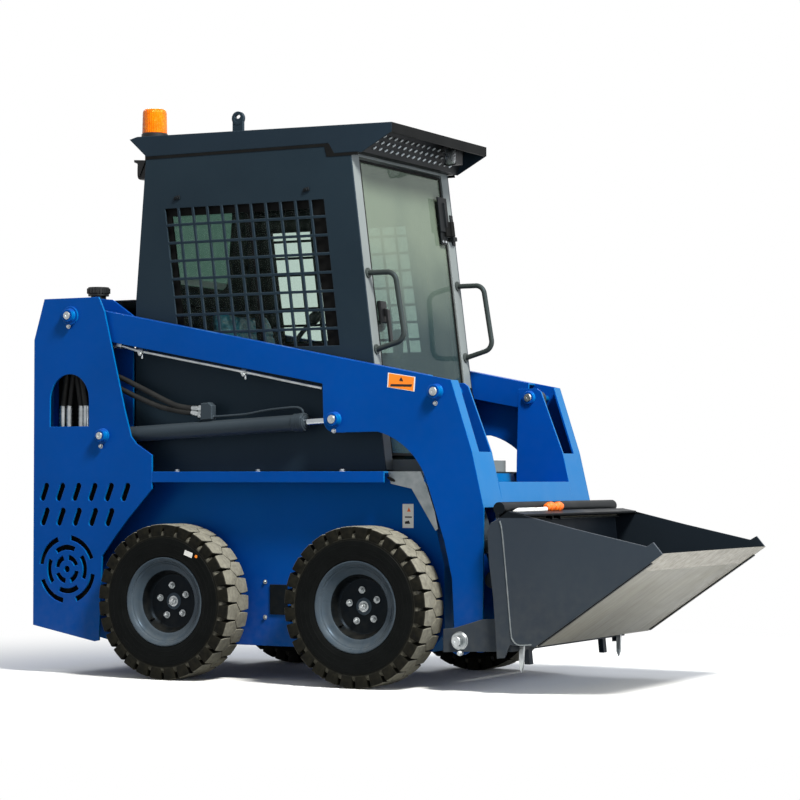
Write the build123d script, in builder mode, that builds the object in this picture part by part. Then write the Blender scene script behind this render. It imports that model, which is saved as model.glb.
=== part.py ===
"""Skid steer loader with a glazed cab, radial lift arms and a bucket on a quick coupler.

Millimetres, +X towards the bucket, +Z up.  The origin lies on the ground under the middle of
the machine's overall box.  Side outlines are drawn on planes whose local x is measured
forward from the middle of the wheelbase and whose local y is the height.
"""
import os
from math import asin, atan, cos, degrees, radians, sin, tan

from build123d import *

os.makedirs("parts", exist_ok=True)

# --- overall -------------------------------------------------------------------------------
REAR_X = -1055.0            # rear face, from the middle of the wheelbase
BUCKET_TIP = (1586.0, 500.0)    # cutting edge, bucket rolled back
WHEEL_MID = -(REAR_X + BUCKET_TIP[0]) / 2

# --- wheels --------------------------------------------------------------------------------
WHEELBASE = 820.0
TYRE_R = 292.0              # out to the lug tips
TYRE_W = 147.0
TYRE_GAP = 23.0             # tub to tyre
RIM_R = 152.0               # bead seat
RIM_LIP_R = 167.0
RIM_WALL = 8.0
HUB_R = 97.0                # bolted centre disc
STUB_R = 30.0
RUN = 0.05                  # running clearance of pins and shafts, on the radius

# --- body ----------------------------------------------------------------------------------
TUB_HALF = 385.0
TUB_PLATE = 6.0
TUB_BOTTOM = 130.0
SILL_TOP = 780.0
SILL_PLATE = 6.0
SILL_LIP = 40.0
SILL_FRONT = 498.0
TOWER_PLATE = 8.0
TOWER_TOP = 1453.0
HOOD_SHEET = 5.0

# --- cab -----------------------------------------------------------------------------------
CAB_OVERHANG = 9.0          # cab wall outside the tub
CAB_SKIN = 6.0
CAB_REAR = -642.0
CAB_SHOULDER = 1442.0       # the rear wall leans forward above this height
CAB_REAR_TOP = -598.0
CAB_TOP = 1996.0
ROOF_STEP = (216.0, 1957.0)     # the roof's cheeks hang lower ahead of this point
FRONT_FOOT = 456.0          # foot of the leaning front, at sill height
FRONT_LEAN = 7.2            # degrees
POST_W = 54.0
POST_D = 40.0

# --- lift arms -----------------------------------------------------------------------------
CAB_GAP = 6.0               # cab wall to the tower plates' inner line
ARM_GAP = 6.0               # inner tower plate to arm
ARM_W = 65.0
ARM_PLATE = 8.0
SIDE_GAP = 10.0             # arm to outer tower plate
DROP_W = 162.0              # width of the box in front of the cab
ARM_PIVOT = (-882.0, 1384.0)
LIFT_BASE = (-728.0, 918.0)
LIFT_EYE = (285.0, 970.0)
TILT_TOP = (702.0, 1065.0)
TILT_EYE = (900.0, 395.0)
BUCKET_PIVOT = (798.0, 181.0)
PIVOT_R = 22.0
LIFT_PIN_R = 16.0
TILT_PIN_R = 15.0
BUCKET_PIN_R = 20.0

# --- cylinders -----------------------------------------------------------------------------
LIFT_BARREL_R = 30.0
LIFT_BARREL_L = 872.0       # base pin to gland face
LIFT_ROD_R = 14.0
LIFT_EYE_R = 34.0
TILT_BARREL_R = 27.0
TILT_BARREL_L = 600.0
TILT_ROD_R = 12.5
TILT_EYE_R = 27.0
CYL_EYE_W = 39.0

# --- bucket --------------------------------------------------------------------------------
BUCKET_SHEET = 8.0
EAR_PLATE = 10.0
EAR_GAP = 5.0
EAR_ROOM = 28.0             # outer ears to the bucket's side

# derived faces, as distances from the middle plane
TYRE_IN = TUB_HALF + TYRE_GAP
TRACK_OUT = TYRE_IN + TYRE_W
CAB_HALF = TUB_HALF + CAB_OVERHANG
TOWER_IN_FACE = CAB_HALF + CAB_GAP
ARM_IN = TOWER_IN_FACE + ARM_GAP
ARM_OUT = ARM_IN + ARM_W
DROP_IN = ARM_OUT - DROP_W
SIDE_IN = ARM_OUT + SIDE_GAP
SIDE_OUT = SIDE_IN + TOWER_PLATE
LIFT_Y = (ARM_IN + ARM_OUT) / 2
TILT_Y = (DROP_IN + ARM_OUT) / 2
BUCKET_HALF = ARM_OUT + EAR_GAP + EAR_PLATE + EAR_ROOM
AXLES = {"front": WHEELBASE / 2, "rear": -WHEELBASE / 2}


def side(y):
    """Upright plane at y: local x forward from the wheelbase middle, local y up, facing -Y."""
    return Plane(origin=(WHEEL_MID, y, 0), x_dir=(1, 0, 0), z_dir=(0, -1, 0))


def plate(outline, inner, outer, mode=Mode.ADD):
    """Right-hand plate with a side outline, from inner to outer off the middle plane."""
    with BuildSketch(side(-inner)) as face:
        with BuildLine():
            Polyline(*outline, close=True)
        make_face()
    extrude(face.sketch, amount=outer - inner, mode=mode)


def across(outline, half, mode=Mode.ADD):
    """Piece with a side outline that runs right across the machine."""
    plate(outline, -half, half, mode)


def round_bar(centre, radius, inner, outer, mode=Mode.ADD):
    """Right-hand round bar along Y, from inner to outer off the middle plane."""
    with BuildSketch(side(-inner)) as face:
        with Locations(centre):
            Circle(radius)
    extrude(face.sketch, amount=outer - inner, mode=mode)


def strip(path, thickness):
    """Closed outline of a bent sheet: the path, and back along it one thickness to its left."""
    vectors = [Vector(x, z, 0) for x, z in path]
    runs = [(b - a).normalized() for a, b in zip(vectors, vectors[1:])]
    lefts = [Vector(-run.Y, run.X, 0) for run in runs]
    far = [vectors[0] + lefts[0] * thickness]
    for point, before, after in zip(vectors[1:], lefts, lefts[1:]):
        mitre = (before + after).normalized()
        far.append(point + mitre * (thickness / mitre.dot(before)))
    far.append(vectors[-1] + lefts[-1] * thickness)
    return [(v.X, v.Y) for v in vectors] + [(v.X, v.Y) for v in reversed(far)]


def box(low, high, mode=Mode.ADD):
    """Block between two corners, with x from the wheelbase middle."""
    (x0, y0, z0), (x1, y1, z1) = low, high
    middle = (WHEEL_MID + (x0 + x1) / 2, (y0 + y1) / 2, (z0 + z1) / 2)
    with Locations(middle):
        Box(x1 - x0, y1 - y0, z1 - z0, mode=mode)


def keep(builder, name):
    """Label a finished piece and write its file."""
    builder.part.label = name
    export_step(builder.part, f"parts/{name}.step")


# ------------------------------------------------------------------------------------------
# Wheels
# ------------------------------------------------------------------------------------------
def axle_plane(x, right):
    """Plane through an axle: local x is the radius, local y the distance off the middle."""
    return Plane(origin=(WHEEL_MID + x, 0, TYRE_R), x_dir=(0, 0, 1), z_dir=(1 if right else -1, 0, 0))


def turned(outline, x, right, mode=Mode.ADD):
    """Solid of revolution about an axle from (radius, distance off the middle) points."""
    plane = axle_plane(x, right)
    with BuildSketch(plane) as face:
        with BuildLine():
            Polyline(*outline, close=True)
        make_face()
    revolve(face.sketch, axis=Axis(plane.origin, plane.y_dir), mode=mode)


RIM_OUT = TRACK_OUT - 18.0
RIM_IN = TYRE_IN + 18.0
DISC_OUT = RIM_OUT - 62.0       # the disc is dished in from the rim's edge
BEARING_R = 62.0
BEARING_END = TUB_HALF + 45.0

LUGS = 28                   # per side, the sides staggered by half a pitch
LUG_FACE = 50.0             # width of a lug
TREAD_FLOOR_R = 268.0
TREAD_GROOVE = 4.0          # between the two rows of lugs
WALL_R = 222.0              # the side wall is dished inside this radius
BEAD_FIT = 0.3              # the bead's flats stand this far off the rim
tyre_middle = (TYRE_IN + TRACK_OUT) / 2
lug_angle = degrees(asin(LUG_FACE / 2 / TYRE_R))
lug_pitch = 360 / LUGS
bead_corner = (RIM_R + BEAD_FIT) / cos(radians(lug_pitch / 2))
wall_slope = degrees(atan((WALL_R - bead_corner) * cos(radians(lug_pitch / 2)) / (TRACK_OUT - RIM_OUT)))


def flats(x, radius, turn=0.0):
    """One-flat-per-lug polygon about an axle, given by the radius of its corners."""
    angles = [radians((i + 0.5) * lug_pitch + turn) for i in range(LUGS)]
    return [(x + radius * cos(angle), TYRE_R + radius * sin(angle)) for angle in angles]


def lug_row(x, turn):
    """Outline of one row of lugs about an axle."""
    points = []
    for i in range(LUGS):
        middle = i * lug_pitch + turn
        for radius, angle in ((TREAD_FLOOR_R, -lug_angle), (TYRE_R, -lug_angle),
                              (TYRE_R, lug_angle), (TREAD_FLOOR_R, lug_angle)):
            along_rim = radians(middle + angle)
            points.append((x + radius * cos(along_rim), TYRE_R + radius * sin(along_rim)))
    return points


for end, axle_x in AXLES.items():
    for hand in ("right", "left"):
        is_right = hand == "right"
        with BuildPart() as tyre:
            sign = -1 if is_right else 1
            for start, stop, turn in ((TYRE_IN, tyre_middle - TREAD_GROOVE / 2, 0.0),
                                      (tyre_middle + TREAD_GROOVE / 2, TRACK_OUT, lug_pitch / 2)):
                with BuildSketch(side(sign * start)) as row:
                    with BuildLine():
                        Polyline(*lug_row(axle_x, turn), close=True)
                    make_face()
                extrude(row.sketch, amount=-sign * (stop - start))
            with BuildSketch(side(sign * (tyre_middle - TREAD_GROOVE))) as floor:
                with BuildLine():
                    Polyline(*flats(axle_x, TREAD_FLOOR_R), close=True)
                make_face()
            extrude(floor.sketch, amount=-sign * 2 * TREAD_GROOVE)
            # dished walls down to the beads, and the bore between them
            for distance, radius, depth, slope in (
                    (TYRE_IN, WALL_R, RIM_IN - TYRE_IN, wall_slope),
                    (TRACK_OUT, WALL_R, RIM_OUT - TRACK_OUT, wall_slope),
                    (RIM_IN, bead_corner, RIM_OUT - RIM_IN, 0.0)):
                # the plane faces the way that the cut runs
                facing = sign * (1 if depth > 0 else -1)
                start_point = (WHEEL_MID, sign * distance, 0)
                with BuildSketch(Plane(start_point, (1, 0, 0), (0, facing, 0))) as ring:
                    with BuildLine():
                        Polyline(*[(px, -facing * pz) for px, pz in flats(axle_x, radius)], close=True)
                    make_face()
                extrude(ring.sketch, amount=abs(depth), taper=slope, mode=Mode.SUBTRACT)
        keep(tyre, f"tyre_{end}_{hand}")

        with BuildPart() as rim:
            turned([(RIM_R - RIM_WALL, RIM_IN), (RIM_R, RIM_IN), (RIM_R, RIM_OUT),
                    (RIM_LIP_R - 2, RIM_OUT + 3.8), (RIM_LIP_R - 2, RIM_OUT + 8),
                    (RIM_R - 4, RIM_OUT + 8), (RIM_R - RIM_WALL, RIM_OUT - 6),
                    (HUB_R + 22, DISC_OUT + 8), (HUB_R, DISC_OUT), (0, DISC_OUT), (0, DISC_OUT - 10),
                    (HUB_R + 14, DISC_OUT - 10), (RIM_R - RIM_WALL, DISC_OUT + 12)],
                   axle_x, is_right)
            turned([(0, TUB_HALF + 4), (STUB_R, TUB_HALF + 4), (STUB_R, BEARING_END + 6),
                    (HUB_R - 20, BEARING_END + 6), (HUB_R - 20, DISC_OUT - 10), (0, DISC_OUT - 10)],
                   axle_x, is_right)
        keep(rim, f"rim_{end}_{hand}")

with BuildPart() as wheel_bearings:
    for axle_x in AXLES.values():
        for is_right in (True, False):
            turned([(STUB_R + RUN, TUB_HALF), (BEARING_R + 18, TUB_HALF), (BEARING_R + 18, TUB_HALF + 12),
                    (BEARING_R, TUB_HALF + 12), (BEARING_R, BEARING_END), (STUB_R + RUN, BEARING_END)],
                   axle_x, is_right)
keep(wheel_bearings, "wheel_bearings")

# ------------------------------------------------------------------------------------------
# Chassis tub, sills and rear frame
# ------------------------------------------------------------------------------------------
TUB_TOP = SILL_TOP - SILL_PLATE
TUB_REAR = REAR_X + 9.0
BUMPER_TOP = 305.0
TUB_OUTLINE = [(TUB_REAR, TUB_BOTTOM + 58), (-770.0, TUB_BOTTOM), (640.0, TUB_BOTTOM),
               (690.0, TUB_BOTTOM + 70), (690.0, 440.0), (660.0, 560.0), (620.0, 700.0),
               (600.0, TUB_TOP), (TUB_REAR, TUB_TOP)]

with BuildPart() as chassis_tub:
    across(TUB_OUTLINE, TUB_HALF)
    with BuildSketch(side(TUB_HALF - TUB_PLATE)) as hollow:
        with BuildLine():
            Polyline(*TUB_OUTLINE, close=True)
        make_face()
        offset(amount=-TUB_PLATE, kind=Kind.INTERSECTION)
    extrude(hollow.sketch, amount=2 * (TUB_HALF - TUB_PLATE), mode=Mode.SUBTRACT)
    box((TUB_REAR + TUB_PLATE, -TUB_HALF + TUB_PLATE, TUB_TOP - 2 * TUB_PLATE),
        (590.0, TUB_HALF - TUB_PLATE, TUB_TOP), Mode.SUBTRACT)
    box((TUB_REAR - 1, -TUB_HALF + TUB_PLATE, BUMPER_TOP),
        (TUB_REAR + TUB_PLATE + 1, TUB_HALF - TUB_PLATE, TUB_TOP), Mode.SUBTRACT)
keep(chassis_tub, "chassis_tub")

PLATE_FRONT = -503.0
with BuildPart() as sills:
    plate([(TUB_REAR, TUB_TOP), (SILL_FRONT, TUB_TOP), (SILL_FRONT, SILL_TOP), (TUB_REAR, SILL_TOP)],
          TUB_HALF - TUB_PLATE, SIDE_IN)
    plate([(PLATE_FRONT, SILL_TOP - SILL_LIP), (SILL_FRONT, SILL_TOP - SILL_LIP),
           (SILL_FRONT, SILL_TOP), (PLATE_FRONT, SILL_TOP)], SIDE_IN, SIDE_OUT)
    mirror(about=Plane.XZ)
keep(sills, "sills")

GUSSET_OUT = ARM_OUT - ARM_PLATE - 9.0
with BuildPart() as front_gussets:
    plate([(SILL_FRONT, TUB_TOP), (SILL_FRONT, SILL_TOP), (630.0, SILL_TOP), (655.0, 726.0), (686.0, 637.0),
           (700.0, 575.0), (690.0, 568.0), (593.0, 718.0), (SILL_FRONT + 10, 736.0)],
          GUSSET_OUT - TOWER_PLATE, GUSSET_OUT)
    plate([(SILL_FRONT, TUB_TOP), (600.0, TUB_TOP), (600.0, SILL_TOP), (SILL_FRONT, SILL_TOP)],
          TUB_HALF - TUB_PLATE, GUSSET_OUT - TOWER_PLATE)
    mirror(about=Plane.XZ)
keep(front_gussets, "front_gussets")

# outer tower plates: the machine's rear flanks, with an inspection arch, slots and a fan guard
FLANK = [(REAR_X, 1294.0), (-1007.0, TOWER_TOP), (-751.0, TOWER_TOP), (-725.0, 1399.0), (-629.0, 1017.0),
         (-599.0, 915.0), (-574.0, 886.0), (-529.0, 859.0), (PLATE_FRONT, 843.0), (PLATE_FRONT, 715.0),
         (-615.0, 598.0), (-671.0, 533.0), (-731.0, 457.0), (-744.0, TUB_BOTTOM + 4),
         (-765.0, TUB_BOTTOM), (REAR_X, TUB_BOTTOM + 55)]
ARCH = (-887.0, 955.0, 92.0)        # centre x, foot, half width
ARCH_SPRING = 1058.0
SLOT_ROWS = [(-1003.0, 702.0), (-1000.0, 606.0)]    # first x, height
SLOT_COUNTS = (6, 5)
SLOT_PITCH = 76.0
SLOT_LENGTH = 75.0
SLOT_WIDTH = 25.0
SLOT_SLANT = 22.0
FAN_CENTRE = (-895.0, 404.0)
FAN_RINGS = [(122.0, 20.0), (84.0, 65.0), (46.0, 20.0)]     # middle radius, first angle
FAN_ARCS = 4
FAN_SLOT = 20.0
FAN_ARC = 62.0

with BuildPart() as tower_outer_plates:
    with BuildSketch(side(-SIDE_IN)) as flank:
        with BuildLine():
            Polyline(*FLANK, close=True)
        make_face()
        with Locations((ARCH[0], (ARCH[1] + ARCH_SPRING) / 2)):
            Rectangle(2 * ARCH[2], ARCH_SPRING - ARCH[1], mode=Mode.SUBTRACT)
        with Locations((ARCH[0], ARCH_SPRING)):
            Ellipse(ARCH[2], 100.0, mode=Mode.SUBTRACT)
        for (first_x, height), count in zip(SLOT_ROWS, SLOT_COUNTS):
            with Locations(*[(first_x + i * SLOT_PITCH, height) for i in range(count)]):
                SlotOverall(SLOT_LENGTH, SLOT_WIDTH, rotation=90 - SLOT_SLANT, mode=Mode.SUBTRACT)
        for ring_r, first in FAN_RINGS:
            for i in range(FAN_ARCS):
                with BuildLine():
                    CenterArc(FAN_CENTRE, ring_r, first + i * 360 / FAN_ARCS, FAN_ARC)
                    # each arc becomes a slot with round ends
                trace(line_width=FAN_SLOT, mode=Mode.SUBTRACT)
        with Locations(FAN_CENTRE):
            Circle(13.0, mode=Mode.SUBTRACT)
    extrude(flank.sketch, amount=TOWER_PLATE)
    # rear flange, turned inwards to the tub
    plate([(REAR_X, TUB_BOTTOM + 58), (REAR_X + TOWER_PLATE, TUB_BOTTOM + 58),
           (REAR_X + TOWER_PLATE, 1290.0), (REAR_X, 1290.0)], TUB_HALF - 6, SIDE_IN)
    for centre, radius, head in ((ARM_PIVOT, PIVOT_R, 36.0), (LIFT_BASE, LIFT_PIN_R, 28.0)):
        round_bar(centre, radius, CAB_HALF - 2, SIDE_IN)
        round_bar(centre, head, SIDE_OUT, SIDE_OUT + 8)
    mirror(about=Plane.XZ)
keep(tower_outer_plates, "tower_outer_plates")

TOWER_FRONT = CAB_REAR - 8.0
with BuildPart() as tower_inner_plates:
    plate([(REAR_X + 30, SILL_TOP), (TOWER_FRONT, SILL_TOP), (TOWER_FRONT, 1382.0), (-748.0, TOWER_TOP - 5),
           (-804.0, TOWER_TOP), (-1004.0, TOWER_TOP), (REAR_X + 30, 1380.0)],
          TOWER_IN_FACE - TOWER_PLATE, TOWER_IN_FACE)
    for centre, radius in ((ARM_PIVOT, PIVOT_R), (LIFT_BASE, LIFT_PIN_R)):
        round_bar(centre, radius + RUN, TOWER_IN_FACE - TOWER_PLATE - 1, TOWER_IN_FACE + 1, Mode.SUBTRACT)
    mirror(about=Plane.XZ)
keep(tower_inner_plates, "tower_inner_plates")

HOOD_HALF = TOWER_IN_FACE - TOWER_PLATE - 0.3
with BuildPart() as engine_hood:
    across(strip([(TOWER_FRONT, TOWER_TOP - 8), (-1002.0, TOWER_TOP - 8), (REAR_X + 14, 1300.0)],
                 HOOD_SHEET), HOOD_HALF)
keep(engine_hood, "engine_hood")

with BuildPart() as engine_block:
    floor = TUB_BOTTOM + TUB_PLATE
    box((-980.0, -220.0, floor + 60), (-500.0, 220.0, 730.0))
    for rail_y in (-150.0, 150.0):
        box((-740.0, rail_y - 25, floor), (-520.0, rail_y + 25, floor + 60))
keep(engine_block, "engine_block")

# rear door: one hinged panel between the rear flanges
DOOR_GAP = 8.0
REAR_DOOR_T = 8.0
REAR_DOOR_HALF = TUB_HALF - TUB_PLATE - DOOR_GAP
REAR_DOOR_Z = (BUMPER_TOP + 8.0, 1284.0)
REAR_KNUCKLE_R = 9.0
REAR_PIN_R = 5.0
REAR_KNUCKLE = 60.0
REAR_HINGE = (REAR_X + REAR_KNUCKLE_R, REAR_DOOR_HALF - 12.0)
REAR_HINGES = [  # height, reach of the bracket off the middle plane
    (420.0, TUB_HALF - TUB_PLATE),
    (1120.0, TUB_HALF + 8),
]


def upright(x, y, z, radius, height, mode=Mode.ADD):
    """Round bar standing on a height, with x from the wheelbase middle."""
    with BuildSketch(Plane(origin=(WHEEL_MID + x, y, z))) as foot:
        Circle(radius)
    extrude(foot.sketch, amount=height, mode=mode)


with BuildPart() as engine_door:
    box((REAR_X, -REAR_DOOR_HALF, REAR_DOOR_Z[0]), (REAR_X + REAR_DOOR_T, REAR_DOOR_HALF, REAR_DOOR_Z[1]))
    for height, reach in REAR_HINGES:
        upright(*REAR_HINGE, height + 1, REAR_KNUCKLE_R, REAR_KNUCKLE)
        upright(*REAR_HINGE, height, REAR_PIN_R + RUN, REAR_KNUCKLE + 2, Mode.SUBTRACT)
        # notch past the bracket and the pin's free end
        box((REAR_X - 1, REAR_HINGE[1] - REAR_KNUCKLE_R - 6, height - 16),
            (REAR_X + REAR_DOOR_T + 1, REAR_DOOR_HALF + 1, height + 1), Mode.SUBTRACT)
keep(engine_door, "engine_door")

with BuildPart() as engine_door_hinges:
    for height, reach in REAR_HINGES:
        upright(*REAR_HINGE, height - 10, REAR_PIN_R, REAR_KNUCKLE + 9)
        box((REAR_X + REAR_DOOR_T, REAR_HINGE[1] - REAR_KNUCKLE_R, height - 10),
            (REAR_X + 22, reach, height))
keep(engine_door_hinges, "engine_door_hinges")

FUEL_NECK = (-863.0, -(CAB_HALF - 64))
with BuildPart() as fuel_cap:
    upright(*FUEL_NECK, TOWER_TOP - 7.7, 30.0, 26.0)
    upright(*FUEL_NECK, TOWER_TOP + 17, 41.0, 34.0)
keep(fuel_cap, "fuel_cap")

# ------------------------------------------------------------------------------------------
# Cab
# ------------------------------------------------------------------------------------------
LEAN = tan(radians(FRONT_LEAN))


def front_x(z):
    """The cab's leaning front line at a height."""
    return FRONT_FOOT - (z - SILL_TOP) * LEAN


GRILLE_TOP = 1790.0
GRILLE_FOOT = 1245.0
GRILLE_REAR = -510.0
GRILLE_FRONT = 193.0        # both at the top edge; the sides lean with the front posts
GRILLE_BAR = 10.0
GRILLE_COLUMNS = 11
GRILLE_ROWS = 8
cell_x = (GRILLE_FRONT - GRILLE_REAR + GRILLE_BAR) / GRILLE_COLUMNS
cell_z = (GRILLE_TOP - GRILLE_FOOT + GRILLE_BAR) / GRILLE_ROWS

with BuildPart() as cab_sides:
    base = SILL_TOP + 1
    plate([(CAB_REAR, base), (front_x(base), base), (front_x(ROOF_STEP[1]), ROOF_STEP[1]), ROOF_STEP,
           (ROOF_STEP[0], CAB_TOP), (CAB_REAR_TOP, CAB_TOP), (CAB_REAR, CAB_SHOULDER)],
          CAB_HALF - CAB_SKIN, CAB_HALF)
    with BuildSketch(side(-CAB_HALF + CAB_SKIN + 1)) as cells:
        for row in range(GRILLE_ROWS):
            top = GRILLE_TOP - row * cell_z
            foot = top - cell_z + GRILLE_BAR
            for column in range(GRILLE_COLUMNS):
                rear = GRILLE_REAR + column * cell_x
                front = rear + cell_x - GRILLE_BAR
                high, low = (GRILLE_TOP - top) * LEAN, (GRILLE_TOP - foot) * LEAN
                with BuildLine():
                    Polyline((rear + high, top), (front + high, top), (front + low, foot),
                             (rear + low, foot), close=True)
                make_face()
    extrude(cells.sketch, amount=CAB_SKIN + 2, mode=Mode.SUBTRACT)
    mirror(about=Plane.XZ)
keep(cab_sides, "cab_sides")

PANEL_HALF = CAB_HALF - CAB_SKIN
REAR_WINDOW = (CAB_HALF - 124, 1500.0, 1890.0)       # half width, foot, head
with BuildPart() as cab_rear:
    across(strip([(CAB_REAR, SILL_TOP + 1), (CAB_REAR, CAB_SHOULDER), (CAB_REAR_TOP, CAB_TOP)],
                 -CAB_SKIN), PANEL_HALF)
    box((CAB_REAR - 20, -REAR_WINDOW[0], REAR_WINDOW[1]),
        (CAB_REAR_TOP + 20, REAR_WINDOW[0], REAR_WINDOW[2]), Mode.SUBTRACT)
keep(cab_rear, "cab_rear")

with BuildPart() as cab_floor:
    box((CAB_REAR, -(TUB_HALF - TUB_PLATE), TUB_TOP), (600.0, TUB_HALF - TUB_PLATE, SILL_TOP))
keep(cab_floor, "cab_floor")

# the leaning front: local x is +Y, local y runs up the posts, facing forward
FRONT = Plane(origin=(WHEEL_MID + FRONT_FOOT, 0, SILL_TOP), x_dir=(0, 1, 0),
              z_dir=(cos(radians(FRONT_LEAN)), 0, sin(radians(FRONT_LEAN))))
UP = cos(radians(FRONT_LEAN))
POST_TOP = (CAB_TOP - SILL_TOP) / UP - 8
POST_OUT = PANEL_HALF
POST_IN = POST_OUT - POST_W
HEADER = 40.0
THRESHOLD_TOP = 824.0
with BuildPart() as cab_front_frame:
    with BuildSketch(FRONT.offset(-POST_D)) as frame_face:
        for sign in (-1, 1):
            with Locations((sign * (POST_IN + POST_OUT) / 2, POST_TOP / 2 + 3)):
                Rectangle(POST_W, POST_TOP - 6)
        with Locations((0, POST_TOP - HEADER / 2)):
            Rectangle(2 * POST_IN, HEADER)
        with Locations((0, 22.0)):
            Rectangle(2 * POST_IN, 32.0)
    extrude(frame_face.sketch, amount=POST_D)
    # step over the foot well
    box((front_x(THRESHOLD_TOP) - 12, -POST_IN, SILL_TOP), (590.0, POST_IN, THRESHOLD_TOP))
keep(cab_front_frame, "cab_front_frame")

ROOF_SHEET = 5.0
VISOR_TIP = 479.0
ROOF_REAR_Z = 2076.0
ROOF_FRONT_Z = 2058.0
ROOF_REAR = -675.0
ROOF_EDGE = CAB_REAR_TOP - 42.0
VISOR_FOOT = 352.0
SKIRT = 5.0
SEAT_GAP = 0.3              # laid on, not sunk in


def roof_z(x):
    """Top of the roof at x."""
    return ROOF_REAR_Z - (x - ROOF_EDGE) / (VISOR_TIP - ROOF_EDGE) * (ROOF_REAR_Z - ROOF_FRONT_Z)


def eave_z(x):
    """Underside of the roof behind the cab's rear wall."""
    share = (CAB_REAR_TOP - x) / (CAB_REAR_TOP - ROOF_REAR)
    return CAB_TOP + 0.5 + share * (ROOF_REAR_Z - 9 - CAB_TOP - 0.5)


with BuildPart() as cab_roof:
    below = ROOF_STEP[1] - SKIRT
    across([(CAB_REAR_TOP, CAB_TOP + 0.5), (ROOF_STEP[0], CAB_TOP + 0.5), (ROOF_STEP[0], ROOF_STEP[1] + 0.5),
            (VISOR_FOOT - 20, ROOF_STEP[1] + 0.5), (VISOR_FOOT, ROOF_STEP[1] - 3),
            (VISOR_TIP, ROOF_FRONT_Z - 35), (VISOR_TIP, ROOF_FRONT_Z), (ROOF_EDGE, ROOF_REAR_Z),
            (ROOF_REAR, ROOF_REAR_Z - 9)], CAB_HALF)
    across([(CAB_REAR_TOP + SKIRT, below), (VISOR_TIP - ROOF_SHEET, below),
            (VISOR_TIP - ROOF_SHEET, ROOF_FRONT_Z - ROOF_SHEET),
            (CAB_REAR_TOP + SKIRT, ROOF_REAR_Z - ROOF_SHEET - 2)], CAB_HALF - ROOF_SHEET, Mode.SUBTRACT)
keep(cab_roof, "cab_roof")

HEADER_SHEET = 4.0
HEADER_RUN = 36.0           # how far the header leans forward
HEADER_SLOT = (22.0, 7.0)   # length, width
HEADER_SLANT = 30.0
HEADER_PITCH = (44.0, 25.0)     # across, up
HEADER_SLOTS = (15, 3)
header_rise = ROOF_FRONT_Z - 8 - ROOF_STEP[1] - 1
with BuildPart() as visor_grille:
    across(strip([(front_x(ROOF_STEP[1]) + 1, ROOF_STEP[1] + 1), (VISOR_FOOT, ROOF_STEP[1] + 1),
                  (VISOR_FOOT + HEADER_RUN, ROOF_FRONT_Z - 8)], HEADER_SHEET), CAB_HALF - ROOF_SHEET - 0.3)
    header_middle = (WHEEL_MID + VISOR_FOOT + HEADER_RUN / 2, 0, ROOF_STEP[1] + 1 + header_rise / 2)
    with BuildSketch(Plane(header_middle, (0, 1, 0), (header_rise, 0, -HEADER_RUN))) as slots:
        with GridLocations(*HEADER_PITCH, *HEADER_SLOTS):
            SlotOverall(*HEADER_SLOT, rotation=HEADER_SLANT)
    extrude(slots.sketch, amount=3 * HEADER_SHEET, both=True, mode=Mode.SUBTRACT)
keep(visor_grille, "visor_grille")

BEACON = (-600.0, -(CAB_HALF - 74))
BEACON_R = 46.0
with BuildPart() as beacon_base:
    with BuildSketch(Plane(origin=(WHEEL_MID + BEACON[0], BEACON[1], ROOF_REAR_Z + SEAT_GAP))) as foot:
        Circle(BEACON_R + 6)
    extrude(foot.sketch, amount=40)
keep(beacon_base, "beacon_base")

with BuildPart() as beacon_dome:
    with BuildSketch(Plane(origin=(WHEEL_MID + BEACON[0], BEACON[1], ROOF_REAR_Z + 40.3))) as dome:
        Circle(BEACON_R)
    extrude(dome.sketch, amount=74, taper=3)
    fillet(beacon_dome.faces().sort_by(Axis.Z)[-1].edges(), 6)
keep(beacon_dome, "beacon_dome")

EYE_X = -205.0
EYE_Y = CAB_HALF - 42
EYE_BORE_R = 13.0
EYE_W = 46.0
EYE_BORE_Z = ROOF_REAR_Z + 58
EYE_TOP = EYE_BORE_Z + 14
EYE_ROUND = 0.4 * EYE_W
with BuildPart() as lifting_eyes:
    lug_foot = roof_z(EYE_X - EYE_W / 2) + SEAT_GAP
    with BuildSketch(side(-EYE_Y + 6)) as lug:
        with Locations((EYE_X, (lug_foot + EYE_TOP) / 2)):
            Rectangle(EYE_W, EYE_TOP - lug_foot)
        with Locations((EYE_X, EYE_BORE_Z)):
            Circle(EYE_BORE_R, mode=Mode.SUBTRACT)
    extrude(lug.sketch, amount=12)
    fillet(lifting_eyes.edges().filter_by(Axis.Y).sort_by(Axis.Z)[-2:], EYE_ROUND)
    mirror(about=Plane.XZ)
keep(lifting_eyes, "lifting_eyes")

LAMP_D = 35.0
LAMP_W = 62.0
LAMP_H = 67.0
STEM = 16.0
VISOR_LAMP = (405.0, 231.0, 1975.0)     # rear face, middle, foot
REAR_LAMP_Y = CAB_HALF - 54
REAR_LAMP_Z = 1914.0
with BuildPart() as work_lamps:
    x, y, z = VISOR_LAMP
    box((x, y - LAMP_W / 2, z), (x + LAMP_D, y + LAMP_W / 2, z + LAMP_H))
    box((x + 11, y - STEM / 2, z + LAMP_H), (x + 25, y + STEM / 2, roof_z(x + 25) - ROOF_SHEET - SEAT_GAP))
    for y in (-REAR_LAMP_Y, REAR_LAMP_Y):
        x, z = CAB_REAR_TOP - 12 - LAMP_D, REAR_LAMP_Z
        box((x, y - LAMP_W / 2, z), (x + LAMP_D, y + LAMP_W / 2, z + LAMP_H))
        box((x + 11, y - STEM / 2, z + LAMP_H), (x + 25, y + STEM / 2, eave_z(x + 25) - SEAT_GAP))
keep(work_lamps, "work_lamps")

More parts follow.
